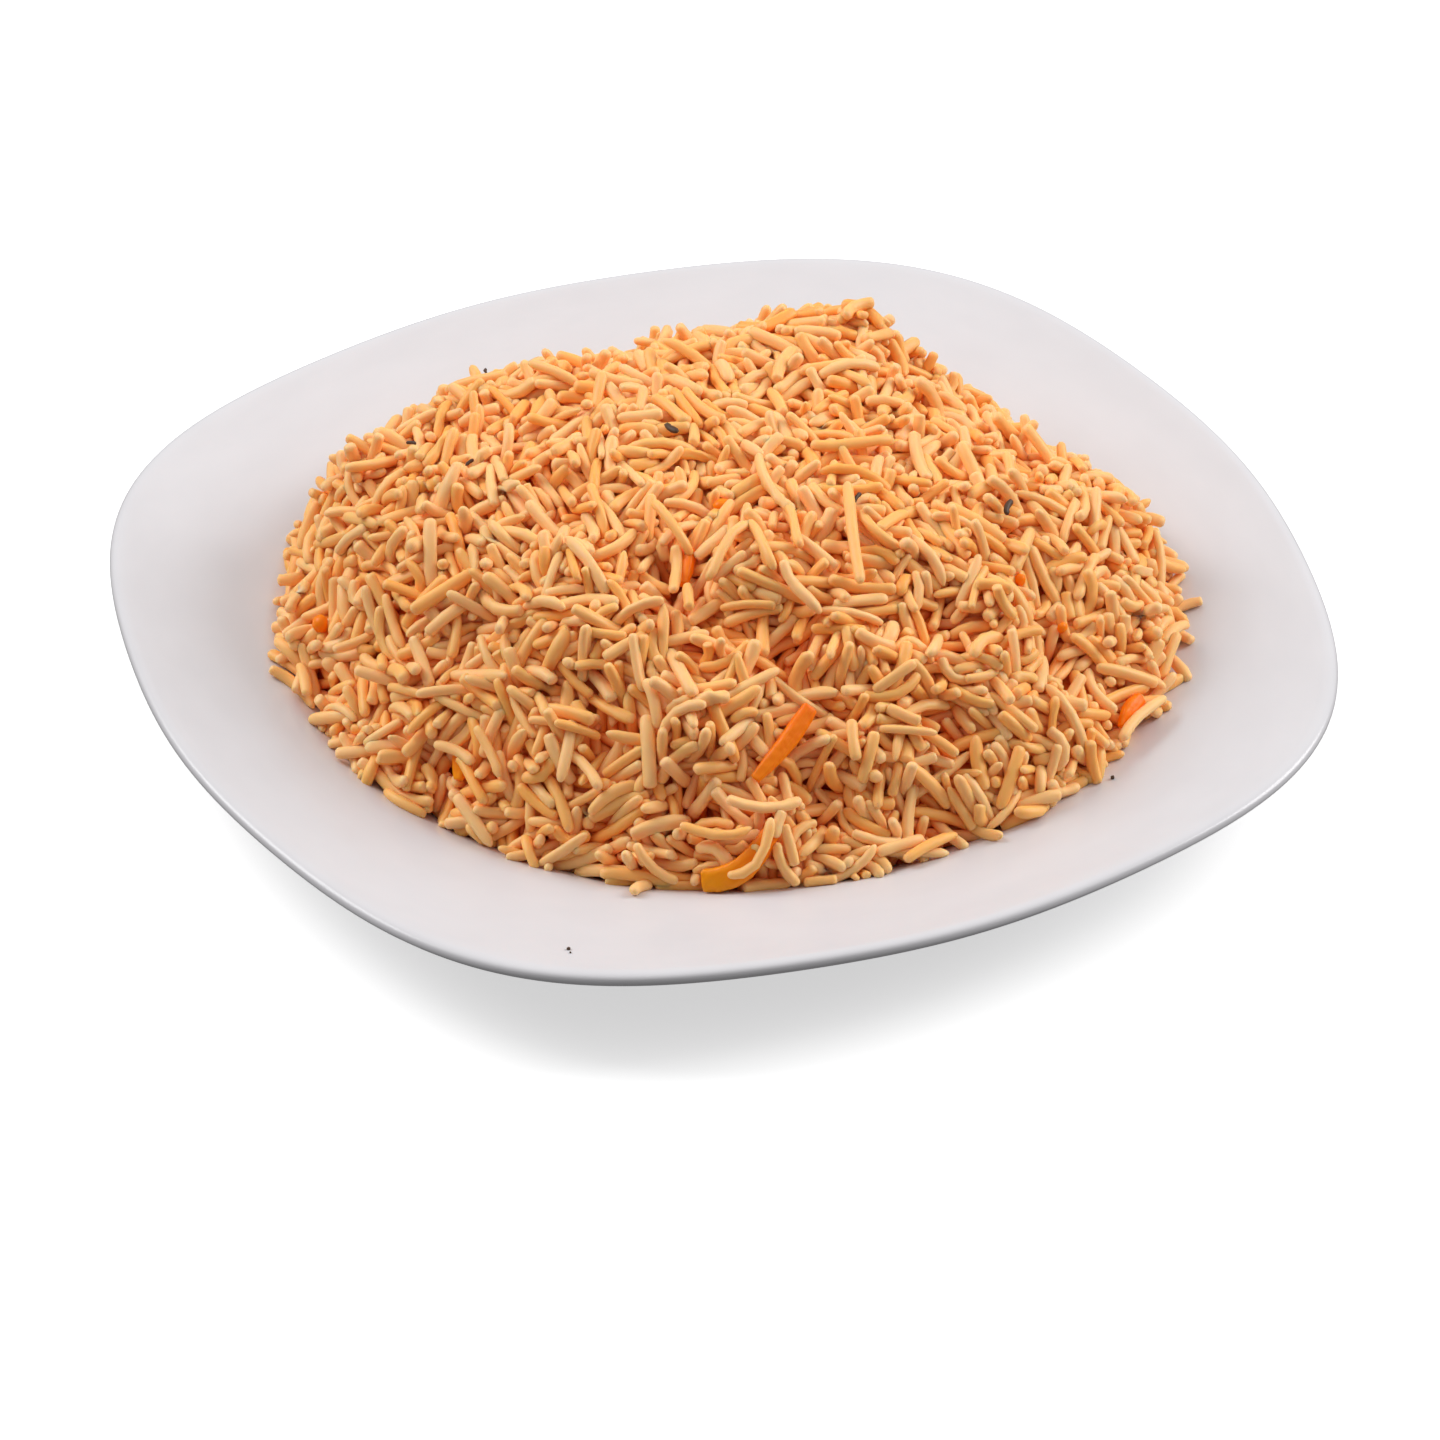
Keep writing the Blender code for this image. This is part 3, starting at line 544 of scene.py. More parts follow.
# Right, away, heading in degrees, length and bow of grains that lie on the bare plate
PLATE_GRAINS = [
    (9.6, -88.9, 16, 10.6, 0.03, SPLIT), (-16.2, -91.6, 62, 7.5, 0.05, BROKEN),
    (20.5, -88.6, 4, 7.0, 0.02, BROKEN), (95.5, 10.5, 70, 10.5, 0.1, BOWED),
    (97.3, 3.5, 25, 9.0, 0.06, BROKEN), (96.4, -4.5, 118, 10.0, 0.05, FULL),
    (93.6, -9.8, 60, 9.0, 0.12, BOWED),
]
print(len(LAID_GRAINS) + len(PLATE_GRAINS), "grains and", len(CUMIN_SEEDS), "cumin seeds are laid")

# %% Lay the seeds
CUMIN_SLIMNESS = 0.34
CUMIN_RAISED = 1.5 * MM
CUMIN_BOW = 0.06


def onto_skin(points, raised):
    """Points moved onto the skin, as seen from its middle, and then raised along its normal."""
    places = SKIN_CENTRE + unit(points - SKIN_CENTRE) * read_table(skin, points)[:, None]
    return places + above_skin(places)[1] * raised


def lay_seed(x, y, degrees, length):
    """The chain of one seed of cumin, flat on the heap."""
    flat = skin_points.reshape(-1, 3)
    nearest = ((flat[:, :2] - on_heap(x * MM, y * MM)) ** 2).sum(-1).argmin()
    _, normal = above_skin(flat[nearest : nearest + 1])
    lie = right * math.cos(math.radians(degrees)) + away * math.sin(math.radians(degrees))
    lie = unit(lie - normal * (normal @ lie)[:, None])
    centre = flat[nearest] + normal * CUMIN_RAISED
    sizes = [np.array([size]) for size in (length * MM, length * MM * CUMIN_SLIMNESS, CUMIN_BOW)]
    return lay_chains(centre, normal, lie, *sizes)[0]


seeds = [lay_seed(*row) for row in CUMIN_SEEDS]

# %% Lay the grains
TOP_LIMIT = cad_box[1].z - 0.6 * MM
LAID_WIDTH = 0.96 * GRAIN_WIDTH
PRESSED_IN = 0.46


def lay_grain(start, middle, end, raised):
    """A chain along a curve through three points of the heap."""
    share = np.linspace(0, 1, BEADS)[:, None]
    corners = [right * x * MM + away * y * MM + np.array([0, 0, z * MM])
               for x, y, z in (start, middle, end)]
    curve = corners[0] * (1 - share) * (1 - 2 * share) + corners[1] * 4 * share * (1 - share)
    chain = onto_skin(curve + corners[2] * share * (2 * share - 1), raised * MM)
    chain[:, 2] = np.minimum(chain[:, 2], TOP_LIMIT - GRAIN_WIDTH / 2)
    return chain


def lay_on_plate(x, y, degrees, length, bow):
    """A chain that lies flat on the plate."""
    share = np.linspace(-0.5, 0.5, BEADS)
    turn = math.radians(degrees)
    lie = right * math.cos(turn) + away * math.sin(turn)
    aside = away * math.cos(turn) - right * math.sin(turn)
    run = (length * MM - GRAIN_WIDTH) * share[:, None] * lie
    sag = (0.25 - share[:, None] ** 2) * 4 * bow * length * MM * aside
    chain = right * x * MM + away * y * MM + run + sag
    chain[:, 2] = plate_height(chain) + GRAIN_WIDTH * PRESSED_IN
    return chain


laid = [lay_grain(*row[:4]) for row in LAID_GRAINS]
laid += [lay_on_plate(*row[:5]) for row in PLATE_GRAINS]
laid_kind = [row[-1] for row in LAID_GRAINS + PLATE_GRAINS]
fixed_chains = np.array(laid + seeds)
fixed_length = np.linalg.norm(np.diff(fixed_chains, axis=1), axis=2).sum(1)
seed_width = [row[3] * MM * CUMIN_SLIMNESS for row in CUMIN_SEEDS]
fixed_width = np.array([LAID_WIDTH] * len(laid) + seed_width)
fixed_length += fixed_width
fixed_kind = np.array(laid_kind + [CUMIN] * len(seeds))
shortest, longest = np.round([fixed_length.min() / MM, fixed_length.max() / MM], 1)
print("they are", shortest, "to", longest, "mm long")

# %% [markdown]
# ## Let the heap settle
#
# A physics engine could drop the grains one by one, but that is slow and its result hard to
# repeat. Position-based dynamics is the simpler way: in each turn beads that overlap are
# moved apart, beads inside the core or the plate are moved out, everything is pulled a little
# into the heap, and then each chain is made stiff again by fitting its rest shape to the
# beads. After some 170 turns the grains rest on each other and hardly cut through.
#
# Two beads only need testing where they are close, so beads are sorted into small cells, and
# only beads of neighbouring cells are compared.

# %% Find beads that are close
def close_pairs(points, reach, owner):
    """Pairs of points closer than reach that belong to different grains."""
    cell = np.floor(points / reach).astype(np.int64)
    cell -= cell.min(0)
    span = cell.max(0) + 3
    key = (cell[:, 0] * span[1] + cell[:, 1]) * span[2] + cell[:, 2]
    order = np.argsort(key, kind="stable")
    key = key[order]
    count = len(points)
    found = []
    for dx in (-1, 0, 1):
        for dy in (-1, 0, 1):
            for dz in (-1, 0, 1):
                shift = (dx * span[1] + dy) * span[2] + dz
                if shift < 0:
                    continue
                low = np.searchsorted(key, key + shift, "left")
                high = np.searchsorted(key, key + shift, "right")
                if shift == 0:
                    low = np.arange(count) + 1
                many = np.maximum(high - low, 0)
                first = np.repeat(np.arange(count), many)
                step = np.arange(many.sum()) - np.repeat(np.cumsum(many) - many, many)
                found.append((order[first], order[step + np.repeat(low, many)]))
    a = np.concatenate([pair[0] for pair in found])
    b = np.concatenate([pair[1] for pair in found])
    near = np.linalg.norm(points[a] - points[b], axis=1) < reach
    near &= owner[a] != owner[b]
    return a[near], b[near]


# %% [markdown]
# The pile's floor is the core, a copy of the skin sunk by the pile's depth. The carrot
# strips are in the way as well: the corners and middles of their faces are beads that never
# move.

# %% What the grains rest on
CORE_DEPTH = 5.9 * MM
STRIPS = [name for name in sorted(nodes) if name.startswith("carrot")]
STRIP_BEAD = 0.25 * MM


def face_beads(name):
    """Corners, edge middles and face middles of a strip, as points that push grains away."""
    mesh = nodes[name].data
    corners = np.array([v.co for v in mesh.vertices])
    middles = [corners[list(p.vertices)].mean(0) for p in mesh.polygons]
    halves = [corners[list(e.vertices)].mean(0) for e in mesh.edges]
    return np.concatenate([corners, middles, halves])


strip_beads = np.concatenate([face_beads(name) for name in STRIPS])
fixed_beads = np.concatenate([strip_beads, fixed_chains.reshape(-1, 3)])
strip_radius = np.full(len(strip_beads), STRIP_BEAD)
fixed_radius = np.concatenate([strip_radius, np.repeat(fixed_width / 2, BEADS)])
print(len(strip_beads), "fixed beads on", len(STRIPS), "strips of carrot")

# %% [markdown]
# Fitting a rest shape to moved beads is a small well-known sum: the best turn comes from the
# singular value decomposition of the 3 by 3 matrix that joins the two sets of beads. numpy
# does all the grains in one call.

# %% Settle the pile
TURNS = 170
PAIRS_EVERY = 8
PULL = 0.035 * MM
PULL_FADES = 0.7
PULL_INWARD = 0.75
PULL_DOWN = 0.35
STIFFNESS = 0.88
SOFTNESS = 0.93
THIN_ENDS = [0.8, 0.97, 1, 1, 0.97, 0.8]
SEARCH_REACH = 1.35 * GRAIN_WIDTH
MOST_EASE = 1.5


def stiffen(chain, rest):
    """Each chain moved most of the way to its rest shape, turned and placed to fit it."""
    middle = chain.mean(1, keepdims=True)
    spread = np.einsum("nki,nkj->nij", chain - middle, rest)
    u, _, vt = np.linalg.svd(spread)
    flip = np.sign(np.linalg.det(u @ vt))
    u[:, :, 2] *= flip[:, None]
    goal = middle + np.einsum("nij,nkj->nki", u @ vt, rest)
    return chain + (goal - chain) * STIFFNESS


def settle(chain, width):
    """The chains after all turns, and by how much close beads still overlap."""
    grains = len(chain)
    rest = chain - chain.mean(1, keepdims=True)
    count = grains * BEADS
    owner = np.concatenate([np.repeat(np.arange(grains), BEADS), np.full(len(fixed_beads), -1)])
    radius = np.concatenate([np.repeat(width / 2, BEADS) * SOFTNESS, fixed_radius])
    radius[:count] *= np.tile(THIN_ENDS, grains)
    movable = np.concatenate([np.ones(count), np.zeros(len(fixed_beads))])
    for turn in range(TURNS):
        points = np.concatenate([chain.reshape(-1, 3), fixed_beads])
        if turn % PAIRS_EVERY == 0:
            a, b = close_pairs(points, SEARCH_REACH, owner)
            share = movable[a] / np.maximum(movable[a] + movable[b], 1)
        gap = points[b] - points[a]
        far = np.maximum(np.linalg.norm(gap, axis=1), 1e-9)
        over = np.maximum(radius[a] + radius[b] - far, 0)
        push = gap * (over / far)[:, None]
        hits = np.bincount(a, over > 0, len(points)) + np.bincount(b, over > 0, len(points))
        ease = MOST_EASE / np.maximum(hits, MOST_EASE)
        for axis in range(3):
            back_off = np.bincount(a, push[:, axis] * share, len(points))
            points[:, axis] -= back_off * ease * movable
            give_way = np.bincount(b, push[:, axis] * (1 - share), len(points))
            points[:, axis] += give_way * ease * movable
        free = points[:count]
        high, normal = above_skin(free)
        pull = PULL * (1 - PULL_FADES * turn / TURNS)
        free = free - (PULL_INWARD * normal + [0, 0, PULL_DOWN]) * pull
        floor = -CORE_DEPTH - hollow_depth(free) + radius[:count]
        free += normal * np.maximum(floor - high, 0)[:, None]
        rise = plate_height(free) + radius[:count] - free[:, 2]
        free[:, 2] += np.maximum(rise, 0)
        free[:, 2] = np.minimum(free[:, 2], TOP_LIMIT - radius[:count])
        chain = stiffen(free.reshape(grains, BEADS, 3), rest)
    return chain, over


started = time.time()
beads, over = settle(beads, grain_width)
high, _ = above_skin(beads.reshape(-1, 3))
print("settled in", round(time.time() - started, 1), "s; overlaps mean",
      round(over.mean() / MM, 3), "mm, worst", round(over.max() / MM, 2), "mm")
levels = np.percentile(high, [50, 90, 99]) / MM
print("beads above the skin, percentiles 50 90 99:", np.round(levels, 2))

# %% [markdown]
# The cook laid the strips of carrot on top, so no grain may hide one. Each strip's own axes
# come from its mesh: the longest spread is its length. A grain goes if one of its beads lies
# right over the middle of a strip, but the strips' far ends may be tucked under. The laid
# pieces and seeds stay in sight in the same way. Grains that stand far off the heap or bridge
# a hollow go as well.

# %% Axes of a strip
def strip_axes(name):
    """Middle, axes (long, wide, thick) and half sizes of a strip."""
    corners = np.array([v.co for v in nodes[name].data.vertices])
    middle = (corners.min(0) + corners.max(0)) / 2
    _, _, axes = np.linalg.svd(corners - corners.mean(0), full_matrices=False)
    if axes[0] @ (right + 0.3 * away) < 0:
        axes[0] = -axes[0]
    spread = (corners - middle) @ axes.T
    middle = middle + ((spread.max(0) + spread.min(0)) / 2) @ axes
    half = (spread.max(0) - spread.min(0)) / 2
    return middle, axes, half


for name in STRIPS:
    print(name, "half sizes", np.round(strip_axes(name)[2] / MM, 1), "mm")

# %% What hides a strip or a laid piece
TUCKED_SHARE = {"carrot_front": 0.8, "carrot_middle": 0.95, "carrot_right": 0.9,
                "carrot_hollow": 0.9, "carrot_left": 0.5}
BESIDE_STRIP = 0.4 * MM
OVER_STRIP = 12 * MM
OVER_LAID = (0.4 * MM, 8 * MM)
BESIDE_LAID = 1.7 * MM


def hides_strip(chain):
    """Which chains lie over the part of a strip that has to show."""
    hidden = np.zeros(len(chain), bool)
    for name in STRIPS:
        middle, axes, half = strip_axes(name)
        place = (chain - middle) @ axes.T
        outward = (chain - middle) @ unit(middle - SKIN_CENTRE)
        share = place[..., 0] / half[0]
        inside = (share > -1) & (share < 2 * TUCKED_SHARE[name] - 1)
        inside &= np.abs(place[..., 1]) < half[1] + BESIDE_STRIP
        inside &= (outward > 0) & (outward < OVER_STRIP)
        hidden |= inside.any(1)
    return hidden


def hides_laid(chain):
    """Which chains lie over the beads of a laid piece."""
    hidden = np.zeros(len(chain), bool)
    for spot in fixed_chains[:, 1:-1].reshape(-1, 3):
        outward = unit(spot - SKIN_CENTRE) + back
        gap = chain - spot
        height = gap @ unit(outward)
        aside = np.linalg.norm(gap - height[..., None] * unit(outward), axis=-1)
        over = (height > OVER_LAID[0]) & (height < OVER_LAID[1])
        hidden |= (over & (aside < BESIDE_LAID)).any(1)
    return hidden


# %% Take off what is in the way
NEAR_PLATE = 22 * MM
MOST_OUTSIDE = 3.4 * MM
MOST_PROUD = 2.8 * MM
MOUTH_SHARE = 0.62


def sticks_out(chain, width):
    """Which chains stand too far off the heap, or over its top."""
    high, _ = above_skin(chain.reshape(-1, 3))
    low = chain[..., 2] < NEAR_PLATE
    limit = np.where(low, MOST_OUTSIDE, MOST_PROUD)
    over_top = chain[..., 2].max(1) + width / 2 > cad_box[1].z
    return (high.reshape(len(chain), BEADS) > limit).any(1) | over_top


def bridges_hollow(chain):
    """Which chains lie across the mouth of a hollow."""
    middle = chain.mean(1)
    in_mouth = hollow_depth(middle) > MOUTH_SHARE * HOLLOW_DEPTH
    return in_mouth & (above_skin(middle)[0] > -HOLLOW_DEPTH / 2)


stray, bridging = sticks_out(beads, grain_width), bridges_hollow(beads)
kept = ~(hides_strip(beads) | hides_laid(beads) | stray | bridging)
print(stray.sum(), "stood out,", bridging.sum(), "bridged a hollow;", (~kept).sum(), "taken off")
beads = np.concatenate([beads[kept], fixed_chains])
grain_length = np.concatenate([grain_length[kept], fixed_length])
grain_width = np.concatenate([grain_width[kept], fixed_width])
grain_kind = np.concatenate([grain_kind[kept], fixed_kind])

# %% [markdown]
# ## Colours
#
# Blender's shaders work with linear light, while a cook would name a colour as it looks on a
# screen. One small helper turns the second into the first. The others make a material's
# nodes and join them.

# %% Colour helper
def colour(red, green, blue):
    """A screen colour, each part from 0 to 255, as the linear colour that shaders use."""
    parts = [part / 255 for part in (red, green, blue)]
    return [p / 12.92 if p < 0.04 else ((p + 0.055) / 1.055) ** 2.4 for p in parts] + [1.0]


# %% Node helpers
def new_material(name):
    """A material with a Principled shader: returns it, its node tree and the shader."""
    material = bpy.data.materials.new(name)
    material.use_nodes = True
    tree = material.node_tree
    return material, tree, tree.nodes["Principled BSDF"]


def add_node(tree, kind, **settings):
    """A node of the tree, with its plain properties or its input values set by name."""
    node = tree.nodes.new(kind)
    for key, value in settings.items():
        if key in node.inputs:
            node.inputs[key].default_value = value
        else:
            setattr(node, key, value)
    return node


def ramp_of(tree, factor, stops):
    """A colour ramp over a factor from 0 to 1, from (place, colour) stops."""
    ramp = tree.nodes.new("ShaderNodeValToRGB")
    while len(ramp.color_ramp.elements) < len(stops):
        ramp.color_ramp.elements.new(0.5)
    for element, (place, shade) in zip(ramp.color_ramp.elements, stops):
        element.position = place
        element.color = shade
    tree.links.new(factor, ramp.inputs["Fac"])
    return ramp.outputs["Color"]


# %% [markdown]
# ## The skin of a grain
#
# Along the grain the width grows quickly from the tip, stays full and shrinks again: one end
# is often blunt, where the germ was, and the other slim. Across the grain it is a little
# flattened, and one or two creases run along it, left by the husk. Rings of points are
# placed on a smooth curve through the beads and stitched into a tube. All the grains of a
# kind share one number of points, so numpy shapes them together.

# %% Curve and ends of a grain
BLUNT_REACH = 0.085
SLIM_REACH = 0.24


def lines_through(chain, places):
    """Points and headings on a cubic curve fitted to each chain's beads."""
    fit = np.linalg.pinv(np.vander(np.linspace(0, 1, BEADS), 4, increasing=True))
    terms = np.einsum("pk,nkd->npd", fit, chain)
    held = np.clip(places, 0, 1)[..., None]
    line = np.einsum("nrp,npd->nrd", held ** np.arange(4), terms)
    slope = np.einsum("nrp,npd->nrd", held ** np.arange(3) * np.arange(1, 4), terms[:, 1:])
    return line + slope * (places[..., None] - held), unit(slope)


def end_shape(places, slimness):
    """Width near an end, from 0 at the tip to 1: a short round nose, or a long slim one."""
    reach = BLUNT_REACH + (SLIM_REACH - BLUNT_REACH) * slimness[:, None]
    power = 2.4 - 0.6 * slimness[:, None]
    close = np.clip(1 - places / reach, 0, 1)
    return (1 - close**power) ** (1 / power)


# %% Tubes
RING_PLACES = np.array([0.012, 0.045, 0.11, 0.25, 0.5, 0.75, 0.89, 0.955, 0.988])
SIDES = 10
FLATNESS = 0.88
RING_UNEVEN = 0.042
WAIST = 0.03
CREASE_SIDE, RIB_SIDE, SECOND_CREASE_SIDE = 2, 5, 7
RIB_RISE = 0.05


def tubes(chain, length, width, slimness, crease, ribs):
    """Vertices of every grain as (grains, points, 3), and how far along the grain each is."""
    grains = len(chain)
    share = (length - width) / length
    places = np.concatenate([[0], RING_PLACES, [1]])[None].repeat(grains, axis=0)
    line, ahead = lines_through(chain, 0.5 + (places - 0.5) / share[:, None])
    side = unit(np.cross(ahead, unit(rng.normal(0, 1, (grains, 1, 3)))))
    over = np.cross(ahead, side)
    inner = places[:, 1:-1]
    shape = end_shape(inner, slimness[:, 0]) * end_shape(1 - inner, slimness[:, 1])
    shape = shape * (1 - WAIST * np.abs(2 * inner - 1) ** 2.5)
    shape = shape * (1 + rng.normal(0, RING_UNEVEN, shape.shape))
    radius = width[:, None] / 2 * shape
    turn = np.linspace(0, 2 * math.pi, SIDES, endpoint=False)
    dent = np.ones((grains, 1, SIDES))
    dent[:, 0, CREASE_SIDE] -= crease
    dent[:, 0, SECOND_CREASE_SIDE] -= crease * rng.uniform(0, 0.8, grains)
    dent[:, 0, RIB_SIDE] += RIB_RISE
    dent[:, 0, ::2] -= ribs
    reach = (radius[..., None] * dent)[..., None]
    around = (side[:, 1:-1, None] * np.cos(turn)[:, None]
              + over[:, 1:-1, None] * np.sin(turn)[:, None] * FLATNESS)
    rings = (line[:, 1:-1, None] + around * reach).reshape(grains, -1, 3)
    points = np.concatenate([line[:, :1], rings, line[:, -1:]], axis=1)
    return points, np.concatenate([[0], np.repeat(RING_PLACES, SIDES), [1]])


def tube_faces():
    """Faces of one tube: a tip, rings of squares and the other tip."""
    rings = len(RING_PLACES)
    last = rings * SIDES + 1
    faces = []
    for k in range(SIDES):
        n = (k + 1) % SIDES
        faces.append((0, 1 + n, 1 + k))
        faces.append((last, last - SIDES + k, last - SIDES + n))
        for r in range(rings - 1):
            a, b = 1 + r * SIDES, 1 + (r + 1) * SIDES
            faces.append((a + k, a + n, b + n, b + k))
    return faces


print("one grain has", len(tube_faces()), "faces")

# %% [markdown]
# ## How deep a grain lies
#
# What lies deep is painted darker and redder, as painted shade of the gaps between grains.
# Depth is counted from the pile's own surface: at each entry of the skin's table, the beads near
# by are found with a search tree, and the level that all but the highest few stay under is taken
# as the surface there.

# %% Surface of the pile
CRUST_REACH = 8 * MM
CRUST_SHARE = 86
CRUST_STEP = 2
CRUST_BLUR = 2.0


def pile_surface():
    """Height of the pile's surface over the skin, as a table like the skin's own."""
    flat = beads.reshape(-1, 3)
    high, _ = above_skin(flat)
    tree = KDTree(len(flat))
    for i, bead in enumerate(flat.tolist()):
        tree.insert(bead, i)
    tree.balance()
    table = np.zeros(skin.shape)
    for i in range(0, HEADINGS, CRUST_STEP):
        for j in range(0, HEIGHTS, CRUST_STEP):
            found = tree.find_range(skin_points[i, j].tolist(), CRUST_REACH)
            near = [index for _, index, _ in found]
            level = np.percentile(high[near], CRUST_SHARE) if near else 0.0
            table[i : i + CRUST_STEP, j : j + CRUST_STEP] = level
    return blur(table, CRUST_BLUR)


surface = pile_surface()
levels = np.percentile(surface, [10, 50, 90]) / MM
print("surface of the pile, percentiles 10 50 90:", np.round(levels, 2))

# %% [markdown]
# ## Five kinds of grain
#
# Whole grains, full or slender, bowed ones, ones that split open along the crease while they
# cooked, and broken pieces. Each kind is one joined mesh. Each vertex knows how tinted its
# grain is, how far along the grain it lies and how deep in the heap, for the material.

# %% Grain meshes
def joined_tubes(name, chosen, slim_power, crease, ribs=0):
    """One mesh of the chosen chains, each with a tint of its own."""
    many = len(chosen)
    slimness = rng.random((many, 2)) ** slim_power
    dents = rng.uniform(*crease, many)
    shape = (beads[chosen], grain_length[chosen], grain_width[chosen])
    points, along = tubes(*shape, slimness, dents, ribs)
    per_grain = points.shape[1]
    one = tube_faces()
    faces = []
    for shift in range(0, many * per_grain, per_grain):
        faces.extend([tuple(corner + shift for corner in face) for face in one])
    flat = points.reshape(-1, 3)
    numbers = {
        "tint": np.repeat(rng.random(many), per_grain),
        "along": np.tile(along, many),
        "depth": (read_table(surface, flat) - above_skin(flat)[0]) / PILE_DEPTH,
    }
    piece = new_mesh(name, flat, faces, numbers)
    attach(piece, "root")
    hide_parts("rice")
    print(name, many, "of them,", triangle_count(piece), "triangles")
    return piece


# Name, kind, how rare slim ends are, and the depth of the crease as shares of the half width
GRAIN_KINDS = [
    ("broken_grains", BROKEN, 6.0, (0.0, 0.12)),
    ("bowed_grains", BOWED, 4.0, (0.0, 0.2)),
    ("split_grains", SPLIT, 4.0, (0.22, 0.42)),
    ("full_grains", FULL, 6.0, (0.0, 0.16)),
    ("slender_grains", SLENDER, 2.2, (0.0, 0.2)),
]
MOST_IN_PIECE = 200_000
grain_pieces = []
for name, kind, slim_power, crease in GRAIN_KINDS:
    of_kind = np.flatnonzero(grain_kind == kind)
    grain_pieces.append(joined_tubes(name, of_kind, slim_power, crease))
of_cumin = np.flatnonzero(grain_kind == CUMIN)
cumin = joined_tubes("cumin_seeds", of_cumin, 0.6, (0.05, 0.1), ribs=0.16)
assert max(triangle_count(piece) for piece in grain_pieces) < MOST_IN_PIECE

# %% [markdown]
# ## The core
#
# Under the grains lies a plain lump with the form of the heap. It only shows as a dark orange
# floor in the gaps between grains, so it gets low relief and the full painted shade of the
# rice material.

# %% Core of the heap
CORE_OFF_PLATE = 0.2 * MM


def make_core():
    """The lump under the grains, sunk from the skin by the pile's depth."""
    depth = CORE_DEPTH + hollow_depth(skin_points.reshape(-1, 3)).reshape(skin.shape)
    points = skin_points - skin_normals * depth[..., None]
    flat = points.reshape(-1, 3)
    flat[:, 2] = np.maximum(flat[:, 2], plate_height(flat) + CORE_OFF_PLATE)
    faces = []
    for i in range(HEADINGS):
        n = (i + 1) % HEADINGS
        for j in range(HEIGHTS - 1):
            a, b = i * HEIGHTS + j, n * HEIGHTS + j
            faces.append((a, b, b + 1, a + 1))
    # Depth one gives the core the full painted shade of the rice material
    numbers = {"tint": np.full(len(flat), 0.5), "along": np.full(len(flat), 0.5),
               "depth": np.ones(len(flat))}
    piece = new_mesh("rice_core", flat, faces, numbers)
    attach(piece, "root")
    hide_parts("rice")
    return piece


core = make_core()
print("core", triangle_count(core), "triangles")

# %% [markdown]
# ## Cooked rice as a material
#
# A cooked grain lets light in: it glows a little where light comes through and looks soft.
# Subsurface scattering does that. Tomato and stock have stained the grains from peach to
# orange, every grain differently, and what lies deeper in the heap is painted darker and
# redder: painted shade of the gaps between grains.

# %% Helpers for a material's numbers
def map_range(tree, value, low, high, new_low=0.0, new_high=1.0):
    """A value mapped from one range to another and held inside it."""
    node = add_node(tree, "ShaderNodeMapRange")
    limits = {"From Min": low, "From Max": high, "To Min": new_low, "To Max": new_high}
    for key, number in limits.items():
        node.inputs[key].default_value = number
    tree.links.new(value, node.inputs["Value"])
    return node.outputs["Result"]


def attribute(tree, name):
    """The number of that name that each vertex carries."""
    return add_node(tree, "ShaderNodeAttribute", attribute_name=name).outputs["Fac"]


def blend_colours(tree, factor, first, second):
    """Two colours mixed by a factor; each is a socket or a plain colour."""
    mix = add_node(tree, "ShaderNodeMix", data_type="RGBA")
    sockets = [socket for socket in mix.inputs if socket.type == "RGBA"]
    for source, socket in zip((first, second), sockets):
        if isinstance(source, bpy.types.NodeSocket):
            tree.links.new(source, socket)
        else:
            socket.default_value = source
    tree.links.new(factor, mix.inputs[0])
    return [socket for socket in mix.outputs if socket.type == "RGBA"][0]


# %% Rice material
def rice_material():
    """Soft stained grains with painted shade, darker and redder with depth, paler tips and specks
    of spice.
    """
    material, tree, shader = new_material("stained_rice")
    base = ramp_of(tree, attribute(tree, "tint"), [
        (0.0, colour(255, 200, 138)),
        (0.3, colour(255, 196, 129)),
        (0.55, colour(255, 192, 118)),
        (0.8, colour(255, 187, 107)),
        (1.0, colour(254, 179, 92)),
    ])
    # Painted shade: deeper grains and the core are blended towards a dark red-orange
    painted_shade_share = map_range(tree, attribute(tree, "depth"), 0.3, 1.15)
    shaded_base = blend_colours(tree, painted_shade_share, base, colour(240, 118, 0))
    # The tips are paler, where light shines through, and some carry specks of spice
    along = attribute(tree, "along")
    from_middle = add_node(tree, "ShaderNodeMath", operation="SUBTRACT")
    tree.links.new(along, from_middle.inputs[0])
    from_middle.inputs[1].default_value = 0.5
    size = add_node(tree, "ShaderNodeMath", operation="ABSOLUTE")
    tree.links.new(from_middle.outputs["Value"], size.inputs[0])
    tip = map_range(tree, size.outputs["Value"], 0.42, 0.5, 0.0, 0.4)
    tipped = blend_colours(tree, tip, shaded_base, colour(255, 208, 160))
    specks = add_node(tree, "ShaderNodeTexNoise", Scale=1100.0, Detail=1.0)
    speck = map_range(tree, specks.outputs["Fac"], 0.7, 0.76)
    near_tip = map_range(tree, size.outputs["Value"], 0.3, 0.46, 0.12, 0.75)
    both = add_node(tree, "ShaderNodeMath", operation="MULTIPLY")
    tree.links.new(speck, both.inputs[0])
    tree.links.new(near_tip, both.inputs[1])
    spiced = blend_colours(tree, both.outputs["Value"], tipped, colour(104, 54, 18))
    tree.links.new(spiced, shader.inputs["Base Color"])
    bump = add_node(tree, "ShaderNodeBump", Strength=0.25, Distance=0.0001)
    tree.links.new(specks.outputs["Fac"], bump.inputs["Height"])
    tree.links.new(bump.outputs["Normal"], shader.inputs["Normal"])
    shader.inputs["Roughness"].default_value = 0.42
    shader.inputs["Specular IOR Level"].default_value = 0.36
    shader.inputs["Subsurface Weight"].default_value = 0.75
    shader.inputs["Subsurface Radius"].default_value = (1.0, 0.6, 0.3)
    shader.inputs["Subsurface Scale"].default_value = 0.0014
    return material


rice_finish = rice_material()
for piece in [*grain_pieces, core]:
    piece.data.materials.append(rice_finish)
